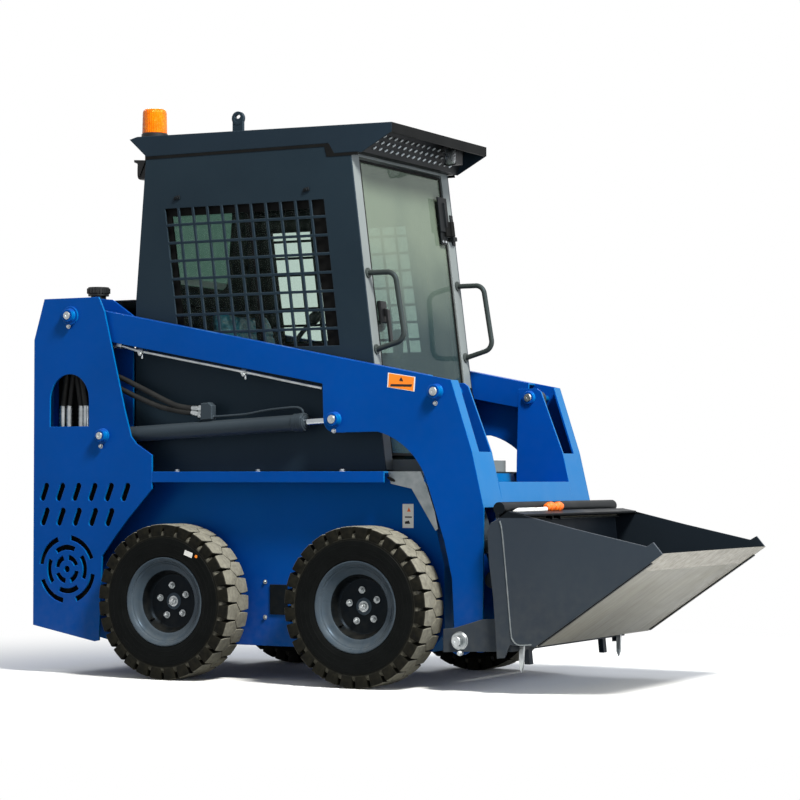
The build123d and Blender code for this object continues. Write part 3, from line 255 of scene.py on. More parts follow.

# %% [markdown]
# ## Powder-coated steel
#
# Nearly every panel is mild steel with a baked polyester powder coat. Powder melts into a skin with
# a faint orange-peel ripple, a few millimetres from crest to crest, so its gloss is soft and broken.
# The coat is thinner on sharp edges, which are painted paler, partly as wear and partly as a painted
# highlight of light caught on the edges, and dust lies on the parts near the ground.
# One function makes them all, because blue, graphite and black panels differ only in their values.


# %% Powder coat
PEEL = 0.007            # crest to crest; the real one is 3 to 4 mm, drawn coarser so that it shows
PEEL_DEPTH = 0.00011
EDGE_RADIUS = 0.0035    # how far a bent or cut edge is rounded
COAT_PATCH = 0.45       # the coat's thickness drifts over half a metre
DUST = "#8E8878"


def powder_coat(name, colour, shade, edge, gloss, dust=0.25, dust_top=0.5, sheen="#8CA4BE", level=0.25):
    """Paint of a colour with shade patches, pale edges and dust from the ground up to dust_top; the
    pale edges are partly wear and partly a painted highlight. The binder over the pigment is not quite
    clear, so the shine takes on its `sheen`."""
    tree, shader, place = new_finish(name, Specular_IOR_Level=level, Specular_Tint=linear(sheen))
    body = two_tones(tree, place, COAT_PATCH, colour, shade)
    # edges: where the rounded normal leaves the face's own; painted paler, partly wear and partly a painted
    # highlight
    rounded = node(tree, "ShaderNodeBevel", {"Radius": EDGE_RADIUS}, samples=6).outputs["Normal"]
    flat = node(tree, "ShaderNodeNewGeometry").outputs["Normal"]
    agree = node(tree, "ShaderNodeVectorMath", {0: rounded, 1: flat}, operation="DOT_PRODUCT")
    worn = node(tree, "ShaderNodeMapRange", {"Value": agree.outputs["Value"], "From Min": 0.985,
                                             "From Max": 0.86, "To Max": 0.75})
    edge_wear_and_highlight = node(tree, "ShaderNodeMath", {0: worn.outputs["Result"],
                                            1: cloudy(tree, place, 0.05, 0.35, 1.0)}, operation="MULTIPLY")
    edged = node(tree, "ShaderNodeMix", {"Factor": edge_wear_and_highlight.outputs[0], 6: body, 7: linear(edge)},
                 data_type="RGBA").outputs[2]
    # dust: thick near the ground, and on faces that look up
    height = node(tree, "ShaderNodeSeparateXYZ", {0: place}).outputs["Z"]
    low = node(tree, "ShaderNodeMapRange", {"Value": height, "From Min": 0.05, "From Max": dust_top,
                                            "To Min": dust, "To Max": dust * 0.08})
    own_way = node(tree, "ShaderNodeTexCoord").outputs["Normal"]
    upward = node(tree, "ShaderNodeSeparateXYZ", {0: own_way}).outputs["Z"]
    lying = node(tree, "ShaderNodeMapRange", {"Value": upward, "From Min": 0.3, "From Max": 1.0,
                                              "To Min": 0.0, "To Max": dust * 0.35})
    both = node(tree, "ShaderNodeMath", {0: low.outputs["Result"], 1: lying.outputs["Result"]})
    dusty = node(tree, "ShaderNodeMath", {0: both.outputs[0], 1: cloudy(tree, place, 0.03, 0.25, 1.0, 6.0)},
                 operation="MULTIPLY", use_clamp=True)
    final = node(tree, "ShaderNodeMix", {"Factor": dusty.outputs[0], 6: edged, 7: linear(DUST)},
                 data_type="RGBA").outputs[2]
    tree.links.new(final, shader.inputs["Base Color"])
    dull = node(tree, "ShaderNodeMath", {0: dusty.outputs[0], 1: cloudy(tree, place, 0.12, gloss - 0.04,
                                                                        gloss + 0.06)})
    tree.links.new(dull.outputs[0], shader.inputs["Roughness"])
    peel = node(tree, "ShaderNodeTexNoise", {"Vector": place, "Scale": 1 / PEEL, "Detail": 1.5})
    bump = node(tree, "ShaderNodeBump", {"Height": peel.outputs["Fac"], "Distance": PEEL_DEPTH,
                                         "Strength": 1.0, "Normal": rounded})
    tree.links.new(bump.outputs["Normal"], shader.inputs["Normal"])


print("orange peel of", PEEL, "m from crest to crest")

# %% Paints of one tone
powder_coat("graphite_powder_coat", "#1E2B34", "#19252E", "#46545F", 0.42, dust=0.05)
# the cab's front frame and door have the cab's graphite paint; pale grey here is painted sunlight on it
powder_coat("pale_grey_painted_sunlight", "#757C7D", "#6C7374", "#A0A6A6", 0.38, dust=0.08)
powder_coat("barrel_paint", "#343D44", "#2D353C", "#5E686F", 0.36, dust=0.05)
powder_coat("olive_grey_powder_coat", "#343A39", "#2E3433", "#5A605E", 0.40, dust=0.06)
powder_coat("black_powder_coat", "#0A0C0D", "#0E1011", "#2C2F32", 0.42, dust=0.06, level=0.18)
# near black: painted shade in the wheels' dishes, and used for the tub's service cover
powder_coat("recess_paint", "#060B10", "#04080C", "#2E3A44", 0.34, dust=0.05, level=0.15)
powder_coat("wheel_powder_coat", "#3E4A55", "#36424D", "#6A7884", 0.26, dust=0.10, dust_top=0.6)
print("paints of one tone", sorted(finishes))


# %% Blue panels
def over_coat(name):
    """What a second tone over a coat starts from: the coat's tree and shader, its colour so far, the
    place of each point, and the way that its face looks."""
    tree = finishes[name].node_tree
    shader = tree.nodes["Principled BSDF"]
    own = node(tree, "ShaderNodeTexCoord").outputs
    return tree, shader, shader.inputs["Base Color"].links[0].from_socket, own["Object"], own["Normal"]


powder_coat("blue_powder_coat", "#003F96", "#00398A", "#1A70D8", 0.34, dust=0.10, dust_top=0.4,
            sheen="#00C8FF", level=0.42)
# where it faces forward the blue is painted lighter and greener: this is painted light, as falls from ahead
tree, shader, coat, _, look = over_coat("blue_powder_coat")
facing = node(tree, "ShaderNodeSeparateXYZ", {0: look})
ahead = node(tree, "ShaderNodeMapRange", {"Value": facing.outputs["X"], "From Min": 0.55, "From Max": 0.9})
pale = node(tree, "ShaderNodeMix", {"Factor": ahead.outputs["Result"], 6: coat, 7: linear("#005D99")},
            data_type="RGBA").outputs[2]
tree.links.new(pale, shader.inputs["Base Color"])
print("blue, with lighter forward faces")

# %% The roof in two tones
powder_coat("roof_powder_coat", "#222E39", "#1E2933", "#46545F", 0.40, dust=0.05, level=0.07)
# the visor's front flange and ceiling are sprayed black against glare: those faces look forward or down
tree, shader, coat, _, look = over_coat("roof_powder_coat")
facing = node(tree, "ShaderNodeSeparateXYZ", {0: look})
ahead = node(tree, "ShaderNodeMath", {0: facing.outputs["X"], 1: 0.6}, operation="GREATER_THAN")
below = node(tree, "ShaderNodeMath", {0: facing.outputs["Z"], 1: -0.5}, operation="LESS_THAN")
sprayed = node(tree, "ShaderNodeMath", {0: ahead.outputs[0], 1: below.outputs[0]}, operation="MAXIMUM")
two_tone = node(tree, "ShaderNodeMix", {"Factor": sprayed.outputs[0], 6: coat, 7: linear("#080909")},
                data_type="RGBA").outputs[2]
tree.links.new(two_tone, shader.inputs["Base Color"])
print("roof, with a black visor")

# %% The bucket, rubbed by earth, with painted shade inside
FLOOR_WAY = (0.569, 0.0, -0.822)    # the floor's outside looks forward and down, at 35 degrees off
TUBE_FOOT = 0.6165                  # height where the coupler's cross tube starts, above the bucket's back
powder_coat("bucket_powder_coat", "#343C45", "#303740", "#62666C", 0.44, dust=0.10)
# the outside of the bucket's floor is rubbed bare by the ground and dusted with dry earth
tree, shader, coat, place, look = over_coat("bucket_powder_coat")
where, facing = (node(tree, "ShaderNodeSeparateXYZ", {0: vector}) for vector in (place, look))
likeness = node(tree, "ShaderNodeVectorMath", {0: look, 1: FLOOR_WAY}, operation="DOT_PRODUCT")
floor_face = node(tree, "ShaderNodeMath", {0: likeness.outputs["Value"], 1: 0.96}, operation="GREATER_THAN")
rubbed = node(tree, "ShaderNodeMath", {0: floor_face.outputs[0],
                                       1: cloudy(tree, place, 0.25, 0.82, 1.0, 5.0)}, operation="MULTIPLY")
scored = node(tree, "ShaderNodeMapping", {"Vector": place, "Scale": (1.0, 14.0, 1.0)}).outputs["Vector"]
bare = two_tones(tree, scored, 0.25, "#A19E93", "#8E8B80", 6.0)
worn = node(tree, "ShaderNodeMix", {"Factor": rubbed.outputs[0], 6: coat, 7: bare},
            data_type="RGBA").outputs[2]
# inside, the cheeks and the back are painted dark: painted shade. A cheek's inner face looks towards the
# middle
outwards = node(tree, "ShaderNodeMath", {0: facing.outputs["Y"], 1: where.outputs["Y"]},
                operation="MULTIPLY")
shaded_cheek = node(tree, "ShaderNodeMath", {0: outwards.outputs[0], 1: -0.3}, operation="LESS_THAN")
back = node(tree, "ShaderNodeMath", {0: facing.outputs["X"], 1: 0.8}, operation="GREATER_THAN")
inside = node(tree, "ShaderNodeMath", {0: shaded_cheek.outputs[0], 1: back.outputs[0]}, operation="MAXIMUM")
worn = node(tree, "ShaderNodeMix", {"Factor": inside.outputs[0], 6: worn, 7: linear("#181E24")},
            data_type="RGBA").outputs[2]
# the coupler's cross tube is black
tube_height = node(tree, "ShaderNodeMath", {0: where.outputs["Z"], 1: TUBE_FOOT}, operation="GREATER_THAN")
done = node(tree, "ShaderNodeMix", {"Factor": tube_height.outputs[0], 6: worn, 7: linear("#0B0D0E")},
            data_type="RGBA").outputs[2]
tree.links.new(done, shader.inputs["Base Color"])
print("paints", sorted(finishes))

# %% [markdown]
# ## Bare and plated metals
#
# Zinc plate on bolts and pins is a bright blue-grey metal, a little cloudy. Hard chrome on the
# cylinder rods is a mirror with fine marks round it. The cutting edge has been dragged through the
# ground, so it is brushed along the way that it travels. Cast iron is grainy and dull.


# %% Metals
def metal(name, colour, shade, rough, grain, depth, stretch=(1.0, 1.0, 1.0)):
    """A metal whose colour and roughness drift, with a grain of real size stretched along an axis."""
    tree, shader, place = new_finish(name, Metallic=1.0)
    shaped = node(tree, "ShaderNodeMapping", {"Vector": place, "Scale": stretch}).outputs["Vector"]
    tree.links.new(two_tones(tree, place, 0.04, colour, shade), shader.inputs["Base Color"])
    tree.links.new(cloudy(tree, shaped, grain * 4, rough * 0.8, rough * 1.25), shader.inputs["Roughness"])
    fine = node(tree, "ShaderNodeTexNoise", {"Vector": shaped, "Scale": 1 / grain, "Detail": 3.0})
    bump = node(tree, "ShaderNodeBump", {"Height": fine.outputs["Fac"], "Distance": depth, "Strength": 1.0})
    tree.links.new(bump.outputs["Normal"], shader.inputs["Normal"])


metal("zinc_plate", "#B4B8BA", "#8E9496", 0.36, 0.004, 0.00006)
metal("hard_chrome", "#A6ACB0", "#969CA2", 0.10, 0.003, 0.00001)
metal("worn_steel_edge", "#928F86", "#7A776E", 0.46, 0.003, 0.00010, (0.12, 1.0, 1.0))
metal("cast_iron", "#4A4A48", "#383836", 0.62, 0.005, 0.00025)
metal("bent_galvanised_sheet", "#83888A", "#6E7678", 0.40, 0.02, 0.00003)
print("metals added,", len(finishes), "finishes")

# %% [markdown]
# ## Rubber, plastics, vinyl and glass
#
# Tyre rubber is black filled with carbon, so it is nearly matt, and the tread is pale with dry earth
# wherever it has touched the ground. The tyres carry two numbers at every point, its distance from
# the axle and how far it is down a groove, and the dirt is mixed in from those, so that it goes
# round with the wheel. Glass is tinted green-grey, and thin, so it is a mix of a clear and a
# shiny surface rather than a solid block that bends light.


# %% Rubber and plastics
PATCH = 0.05            # moulded parts drift a little in colour over some centimetres


def dull_solid(name, colour, shade, rough, grain, depth, **values):
    """A plain opaque stuff: two close colours in patches, with a moulded or cast grain."""
    tree, shader, place = new_finish(name, **values)
    tree.links.new(two_tones(tree, place, PATCH, colour, shade), shader.inputs["Base Color"])
    tree.links.new(cloudy(tree, place, PATCH * 0.7, rough - 0.06, rough + 0.06), shader.inputs["Roughness"])
    cells = node(tree, "ShaderNodeTexVoronoi", {"Vector": place, "Scale": 1 / grain})
    bump = node(tree, "ShaderNodeBump", {"Height": cells.outputs["Distance"], "Distance": depth,
                                         "Strength": 1.0})
    tree.links.new(bump.outputs["Normal"], shader.inputs["Normal"])


dull_solid("moulded_black_plastic", "#17181A", "#1E2022", 0.46, 0.0025, 0.00012, Specular_IOR_Level=0.25)
dull_solid("hose_rubber", "#161718", "#212222", 0.62, 0.003, 0.00015, Specular_IOR_Level=0.2)
dull_solid("seal_rubber", "#0A0B0C", "#101111", 0.70, 0.002, 0.00005, Specular_IOR_Level=0.1)
# near-black foam: the cab's lining, partly painted shade, and the painted shade in the tower's openings
dull_solid("black_foam_and_painted_shade", "#0E1012", "#15181A", 0.92, 0.006, 0.0004, Specular_IOR_Level=0.05)
dull_solid("white_label_vinyl", "#E9EAE8", "#DCDDDA", 0.38, 0.02, 0.00002)
dull_solid("orange_label_vinyl", "#FF8A14", "#F07E10", 0.36, 0.02, 0.00002)
dull_solid("pale_slot_acrylic", "#B4BCC0", "#A4ACB0", 0.30, 0.004, 0.00003)
dull_solid("red_reflector_acrylic", "#B01410", "#8E0C0A", 0.22, 0.004, 0.0004)
dull_solid("orange_nylon", "#F2701A", "#DE6212", 0.40, 0.003, 0.00008)
print("rubber and plastics added,", len(finishes), "finishes")

# %% Tyre rubber with dry earth on the tread
TREAD_R = 292.0         # outside of the lugs, in millimetres as the next two are
WALL_R = 240.0          # outside of the plain wall
RING_GAP = 34.0         # from one of the wall's raised rings to the next
RING_POWER = 24.0       # the higher, the thinner a ring
tree, shader, place = new_finish("carbon_black_rubber", Specular_IOR_Level=0.05)
radius = node(tree, "ShaderNodeAttribute", attribute_name="axle_distance").outputs["Fac"]
rubber = two_tones(tree, place, 0.06, "#070909", "#0C0E0E")
# brown dust on the shoulders, from the edge of the plain wall outwards
shoulder = node(tree, "ShaderNodeMapRange", {"Value": radius, "From Min": WALL_R - 4,
                                             "From Max": WALL_R + 12, "To Max": 0.5})
stained = node(tree, "ShaderNodeMath", {0: shoulder.outputs["Result"],
                                        1: cloudy(tree, place, 0.02, 0.25, 1.0, 6.0)}, operation="MULTIPLY")
stain = node(tree, "ShaderNodeMix", {"Factor": stained.outputs[0], 6: rubber, 7: linear("#2C2A22")},
             data_type="RGBA").outputs[2]
# the faces that roll on the ground are rubbed pale
top = node(tree, "ShaderNodeMapRange", {"Value": radius, "From Min": TREAD_R - 3.5,
                                        "From Max": TREAD_R - 1.5}, interpolation_type="SMOOTHSTEP")
rubbed = node(tree, "ShaderNodeMath", {0: top.outputs["Result"],
                                       1: cloudy(tree, place, 0.012, 0.72, 1.0, 6.0)}, operation="MULTIPLY")
earth = two_tones(tree, place, 0.03, "#8A887C", "#76746A")
# pale earth is packed in the grooves between the shoulders
groove = node(tree, "ShaderNodeAttribute", attribute_name="groove").outputs["Fac"]
packed = node(tree, "ShaderNodeMath", {0: groove, 1: cloudy(tree, place, 0.015, 0.15, 0.8, 5.0)},
              operation="MULTIPLY")
dirty = node(tree, "ShaderNodeMath", {0: rubbed.outputs[0], 1: packed.outputs[0]}, operation="MAXIMUM")
final = node(tree, "ShaderNodeMix", {"Factor": dirty.outputs[0], 6: stain, 7: earth},
             data_type="RGBA").outputs[2]
tree.links.new(final, shader.inputs["Base Color"])
worn = node(tree, "ShaderNodeMapRange", {"Value": dirty.outputs[0], "To Min": 0.52, "To Max": 0.9})
tree.links.new(worn.outputs["Result"], shader.inputs["Roughness"])
grit = node(tree, "ShaderNodeTexNoise", {"Vector": place, "Scale": 1 / 0.003, "Detail": 4.0})
# thin raised rings run round the plain wall, at the mould's parting lines: a cosine to a high power
turns = node(tree, "ShaderNodeMath", {0: radius, 1: 2 * math.pi / RING_GAP}, operation="MULTIPLY")
wave = node(tree, "ShaderNodeMath", {0: turns.outputs[0]}, operation="COSINE")
ring = node(tree, "ShaderNodeMath", {0: wave.outputs[0], 1: RING_POWER}, operation="POWER")
wall = node(tree, "ShaderNodeMath", {0: radius, 1: WALL_R}, operation="LESS_THAN")
ringed = node(tree, "ShaderNodeMath", {0: ring.outputs[0], 1: wall.outputs[0]}, operation="MULTIPLY")
relief = node(tree, "ShaderNodeMath", {0: grit.outputs["Fac"], 1: 0.35, 2: ringed.outputs[0]},
              operation="MULTIPLY_ADD")
bump = node(tree, "ShaderNodeBump", {"Height": relief.outputs[0], "Distance": 0.0009, "Strength": 1.0})
tree.links.new(bump.outputs["Normal"], shader.inputs["Normal"])
print("tyre rubber mixed")

# %% Seat vinyl under its delivery wrap
tree, shader, place = new_finish("wrapped_teal_vinyl", Coat_Weight=0.45, Coat_Roughness=0.1,
                                 Coat_IOR=1.45, Specular_IOR_Level=0.3)
tree.links.new(two_tones(tree, place, 0.03, "#1B5870", "#3A92B2", 5.0), shader.inputs["Base Color"])
tree.links.new(cloudy(tree, place, 0.02, 0.22, 0.42), shader.inputs["Roughness"])
# the film lies in long soft creases
creases = node(tree, "ShaderNodeTexNoise", {"Vector": place, "Scale": 14.0, "Detail": 3.0,
                                            "Distortion": 1.6})
bump = node(tree, "ShaderNodeBump", {"Height": creases.outputs["Fac"], "Distance": 0.012, "Strength": 1.0})
tree.links.new(bump.outputs["Normal"], shader.inputs["Normal"])
tree.links.new(bump.outputs["Normal"], shader.inputs["Coat Normal"])
print("seat vinyl wrapped")


# %% Glass
def clear_pane(name, tint, haze, low_haze, film, cover, low_cover, low_z=1.2, high_z=1.7):
    """Thin tinted glass: most light goes straight through, tinted, and a share meets a hazy film that
    changes from its foot at low_z to its head at high_z."""
    tree, shader, place = new_finish(name, IOR=1.5, Specular_IOR_Level=0.5)
    tree.links.new(cloudy(tree, place, 0.3, film * 0.7, film * 1.5), shader.inputs["Roughness"])
    height = node(tree, "ShaderNodeSeparateXYZ", {0: place}).outputs["Z"]
    rise = node(tree, "ShaderNodeMapRange", {"Value": height, "From Min": low_z, "From Max": high_z},
                interpolation_type="SMOOTHSTEP").outputs["Result"]
    drift = node(tree, "ShaderNodeMath", {0: rise, 1: cloudy(tree, place, 0.25, -0.12, 0.12)},
                 use_clamp=True)
    smear = node(tree, "ShaderNodeMix", {"Factor": drift.outputs[0], 6: linear(low_haze), 7: linear(haze)},
                 data_type="RGBA").outputs[2]
    tree.links.new(smear, shader.inputs["Base Color"])
    # a ray meets the pane's two faces, so each takes the square root of what the whole pane lets by
    face_tint = tuple(math.sqrt(v) for v in linear(tint))
    through = node(tree, "ShaderNodeBsdfTransparent", {"Color": face_tint})
    share = node(tree, "ShaderNodeMapRange", {"Value": drift.outputs[0],
                                              "To Min": 1 - math.sqrt(1 - low_cover),
                                              "To Max": 1 - math.sqrt(1 - cover)}).outputs["Result"]
    # Schlick's rule for the mirror share of glass: 0.04 face on, rising with the fifth power of slant
    slant = node(tree, "ShaderNodeLayerWeight", {"Blend": 0.5}).outputs["Facing"]
    steep = node(tree, "ShaderNodeMath", {0: slant, 1: 5.0}, operation="POWER")
    gloss = node(tree, "ShaderNodeMath", {0: steep.outputs[0], 1: 0.96, 2: 0.04}, operation="MULTIPLY_ADD")
    both = node(tree, "ShaderNodeMath", {0: share, 1: gloss.outputs[0]}, operation="ADD", use_clamp=True)
    pane = node(tree, "ShaderNodeMixShader", {"Fac": both.outputs[0], 1: through.outputs[0],
                                              2: shader.outputs[0]})
    tree.links.new(pane.outputs[0], tree.nodes["Material Output"].inputs["Surface"])


clear_pane("green_tinted_glass", "#A4BCB2", "#717E70", "#3E5258", 0.03, 0.80, 0.42)
clear_pane("dark_rear_glass", "#5C7C70", "#41604F", "#38544A", 0.06, 0.25, 0.25)
clear_pane("sliding_pane_glass", "#DDEAE4", "#5C6C66", "#5C6C66", 0.02, 0.03, 0.03)
print("panes of", [name for name in finishes if name.endswith("glass")])

# %% Amber acrylic
BEACON = np.array([-608.0, -320.0, 2076.3])     # foot of the beacon on the roof, in millimetres
RIBS = 36.0             # upright ribs moulded in the dome to spread the flash, one every 8 mm round it
tree, shader, place = new_finish("amber_acrylic", IOR=1.49, Specular_IOR_Level=0.5, Subsurface_Weight=0.2,
                                 Subsurface_Scale=0.02, Specular_Tint=linear("#FFC070"))
tree.links.new(two_tones(tree, place, 0.03, "#F07A00", "#DC6400"), shader.inputs["Base Color"])
# the sine of so many times the angle round the dome's own axis
axis = tuple(at(BEACON[0], BEACON[1], 0.0))
turn_at = node(tree, "ShaderNodeVectorMath", {0: place, 1: axis}, operation="SUBTRACT")
parts = node(tree, "ShaderNodeSeparateXYZ", {0: turn_at.outputs[0]})
angle = node(tree, "ShaderNodeMath", {0: parts.outputs["Y"], 1: parts.outputs["X"]}, operation="ARCTAN2")
ribs = node(tree, "ShaderNodeMath", {0: angle.outputs[0], 1: RIBS}, operation="MULTIPLY")
rib = node(tree, "ShaderNodeMath", {0: ribs.outputs[0]}, operation="SINE")
bump = node(tree, "ShaderNodeBump", {"Height": rib.outputs[0], "Distance": 0.0006, "Strength": 1.0})
tree.links.new(bump.outputs["Normal"], shader.inputs["Normal"])
tree.links.new(cloudy(tree, place, 0.02, 0.18, 0.3), shader.inputs["Roughness"])
print("finishes", len(finishes))

# %% [markdown]
# ## Which solid has which finish
#
# Each solid of the machine keeps its shape and gets its finish here, by putting the material in the
# slot of its mesh. The tyres and the seat get pieces of their own further down.

# %% Dress the solids
WORN_BY = {
    "blue_powder_coat": ("chassis_tub", "sills", "tower_outer_plates", "tower_inner_plates", "arm_beams",
                         "arm_drop_boxes", "arm_crossmember", "engine_door"),
    "graphite_powder_coat": ("cab_sides", "cab_rear", "cab_floor", "lifting_eyes"),
    "barrel_paint": ("lift_barrels", "tilt_barrels"),
    "olive_grey_powder_coat": ("grab_handles",),
    "roof_powder_coat": ("cab_roof",),
    # the front frame and door: pale grey as painted sunlight on the cab's graphite paint
    "pale_grey_painted_sunlight": ("cab_front_frame", "cab_door"),
    "bucket_powder_coat": ("coupler", "bucket"),
    "black_powder_coat": ("engine_hood", "wheel_bearings", "visor_grille", "seat_base", "door_hinges"),
    "wheel_powder_coat": tuple(f"rim_{end}_{hand}" for end in ("front", "rear")
                               for hand in ("right", "left")),
    "bent_galvanised_sheet": ("front_gussets",),
    "zinc_plate": ("engine_door_hinges",),
    "hard_chrome": ("lift_rods", "tilt_rods"),
    "worn_steel_edge": ("cutting_edge",),
    "cast_iron": ("engine_block",),
    "moulded_black_plastic": ("fuel_cap", "beacon_base", "work_lamps", "control_levers"),
    "amber_acrylic": ("beacon_dome",),
    "dark_rear_glass": ("rear_glass",),
    "green_tinted_glass": ("door_glass",),
    "carbon_black_rubber": tuple(f"tyre_{end}_{hand}" for end in ("front", "rear")
                                 for hand in ("right", "left")),
    "wrapped_teal_vinyl": ("seat",),
}
dressed = {}
for finish, names in WORN_BY.items():
    for name in names:
        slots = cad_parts[name].data.materials
        slots.clear()
        slots.append(finishes[finish])
        dressed[name] = finish
print(len(dressed), "solids dressed; bare:", sorted(set(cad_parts) - set(dressed)))

# %% [markdown]
# ## Shapes from arrays
#
# A turned part, a tube and a bent plate are all the same thing: a ring of points carried along a
# way, with faces between each ring and the next. So one function makes the faces of any grid of
# points, and the others only work out where the points are. All of them work in millimetres from
# the middle of the wheelbase, and `piece` turns that into metres in the machine's own place.


# %% A net of faces
def net(points, loop=False):
    """Vertices and faces of a grid (rows, columns, 3): each row is a ring, and a belt of quads joins it
    to the next row. The end rows are closed by a face each, or with loop the last joins the first."""
    rows, columns = points.shape[:2]
    index = np.arange(rows * columns).reshape(rows, columns)
    belt = np.vstack([index, index[:1]]) if loop else index
    beside = np.roll(belt, -1, axis=1)
    faces = np.stack([belt[:-1], beside[:-1], beside[1:], belt[1:]], axis=-1).reshape(-1, 4).tolist()
    if not loop:
        faces += [index[0][::-1].tolist(), index[-1].tolist()]
    return points.reshape(-1, 3), faces


print("a net of 3 rings of 4 points has", len(net(np.zeros((3, 4, 3)))[1]), "faces")


# %% Turned shapes and bolt heads
def directions(axis):
    """The unit axis and two unit vectors square to it: the cross product with up or with +X."""
    along = np.array(axis, float) / np.linalg.norm(axis)
    other = np.array((0.0, 0.0, 1.0)) if abs(along[2]) < 0.9 else np.array((1.0, 0.0, 0.0))
    u = np.cross(other, along)
    u /= np.linalg.norm(u)
    return along, u, np.cross(along, u)


def turned(profile, foot, axis, sides=32, turn=0.0):
    """A shape of revolution: foot + h.axis + r.(cos a.u + sin a.v) for each (h, r) of the profile."""
    along, u, v = directions(axis)
    h, r = np.array(profile, float).T
    a = np.radians(turn) + np.linspace(0, 2 * np.pi, sides, endpoint=False)
    ring = np.cos(a)[:, None] * u + np.sin(a)[:, None] * v
    return net(np.array(foot, float) + h[:, None, None] * along + r[:, None, None] * ring)


def hexagon(foot, axis, across_flats, height, turn=0.0):
    """A bolt head or nut: a six-sided shape of revolution with its top corners turned off."""
    r = across_flats / math.sqrt(3)
    return turned([(0, r), (height * 0.86, r), (height, r * 0.86)], foot, axis, 6, turn)


print("a bolt head has", len(hexagon((0, 0, 0), UP, 17.0, 9.0)[1]), "faces")


# %% Curves and tubes
def curve_through(points, count):
    """Points spaced along a Catmull-Rom curve: cubic pieces whose slope at each point is half the
    step between its neighbours."""
    p = np.array(points, float)
    p = np.vstack([2 * p[0] - p[1], p, 2 * p[-1] - p[-2]])
    t = np.linspace(0, len(points) - 1 - 1e-9, count)
    i, f = t.astype(int), (t % 1)[:, None]
    a, b, c, d = p[i], p[i + 1], p[i + 2], p[i + 3]
    return 0.5 * (2 * b + (c - a) * f + (2 * a - 5 * b + 4 * c - d) * f ** 2
                  + (3 * b - a - 3 * c + d) * f ** 3)


def tube(path, radius, sides=12):
    """A round tube along a path: each ring is square to the path, and set out by the same level
    vector, so that it never twists."""
    path = np.array(path, float)
    heading = np.gradient(path, axis=0)
    heading /= np.linalg.norm(heading, axis=1, keepdims=True)
    level = np.cross(heading, (0.0, 1.0, 0.0))
    level /= np.linalg.norm(level, axis=1, keepdims=True)
    upright = np.cross(level, heading)
    a = np.linspace(0, 2 * np.pi, sides, endpoint=False)
    radius = np.broadcast_to(radius, len(path))[:, None, None]
    return net(path[:, None] + radius * (np.cos(a)[None, :, None] * level[:, None]
                                         + np.sin(a)[None, :, None] * upright[:, None]))


print("a bend passes", curve_through([(0, 0, 0), (50, 0, 0), (50, 0, 50)], 5)[1].round(1))


# %% Plates
def plate(outline, base, normal, thickness, edge=1.0):
    """A flat plate: a plane outline at four heights, drawn in by `edge` at the first and the last.
    The outline holds points in space, and the plate grows along its normal."""
    outline, normal = np.array(outline, float) + np.array(base, float), np.array(normal, float)
    centre = outline.mean(axis=0)
    pull = centre - outline
    pull /= np.maximum(np.linalg.norm(pull, axis=1, keepdims=True), 1e-6)
    rows = [outline + pull * edge, outline + normal * edge, outline + normal * (thickness - edge),
            outline + pull * edge + normal * thickness]
    return net(np.array(rows))


def rectangle(low_a, high_a, low_b, high_b):
    """Four corners, in order round the rectangle."""
    return [(low_a, low_b), (high_a, low_b), (high_a, high_b), (low_a, high_b)]


def side_plate(outline, face, sign, thickness, edge=1.0, grow=1):
    """A plate that stands along the machine: (x, z) points at |y| = face on the side of the sign,
    which grow outwards, or with grow at -1 inwards."""
    return plate([(x, 0, z) for x, z in outline], (0, sign * face, 0), (0, grow * sign, 0), thickness, edge)


print("a plate has", len(side_plate(rectangle(0, 20, 0, 10), 0, 1, 5)[1]), "faces")

# %% From shapes to a piece
DOUBLED = 2e-5          # points nearer than this, in metres, are one


def piece(name, shapes, finish, body, slot, smooth=32.0, **values):
    """One object from several shapes. Doubled points are merged and faces turned outwards, and
    edges sharper than `smooth` degrees stay crisp. Named values are stored at every point. A piece
    given no body is not attached here."""
    points = np.vstack([vertices for vertices, _ in shapes])
    starts = np.cumsum([0] + [len(vertices) for vertices, _ in shapes])
    faces = [[start + i for i in face] for start, (_, made) in zip(starts, shapes) for face in made]
    mesh = bpy.data.meshes.new(name)
    mesh.from_pydata((points * MM + (MID, 0, 0)).tolist(), [], faces)
    for key, numbers in values.items():
        layer = mesh.attributes.new(key, "FLOAT", "POINT")
        layer.data.foreach_set("value", np.array(numbers, np.float32).ravel())
    work = bmesh.new()
    work.from_mesh(mesh)
    bmesh.ops.remove_doubles(work, verts=work.verts, dist=DOUBLED)
    bmesh.ops.recalc_face_normals(work, faces=work.faces)
    work.to_mesh(mesh)
    work.free()
    mesh.shade_smooth()
    mesh.set_sharp_from_angle(angle=math.radians(smooth))
    made = bpy.data.objects.new(name, mesh)
    bpy.context.scene.collection.objects.link(made)
    mesh.materials.append(finishes[finish])
    if body:
        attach(made, body)
    return made


print("shape helpers ready")

# %% [markdown]
# ## The tyres
#
# These are solid-looking industrial tyres: a plain wall that swells past the rim, and two rows of
# deep lugs that lock into each other along a zigzag down the middle. Each lug is a house in plan,
# its roof pointing across the middle line between two lugs of the other row, and it wraps over the
# shoulder down to the wall. The body of the tyre is a closed profile taken round the axle. A lug is
# a short grid: nine stations from its tip to the foot of its shoulder, each with a hat-shaped
# section, and the same grid is turned to all its places at once.

# %% Sections of the tyre and of a lug
TYRE_MIDDLE = abs(middle("tyre_front_right")[1]) / MM
BODY_SIDES = 168        # points round the body
LUG_COUNT = 28
PITCH = 2 * math.pi / LUG_COUNT
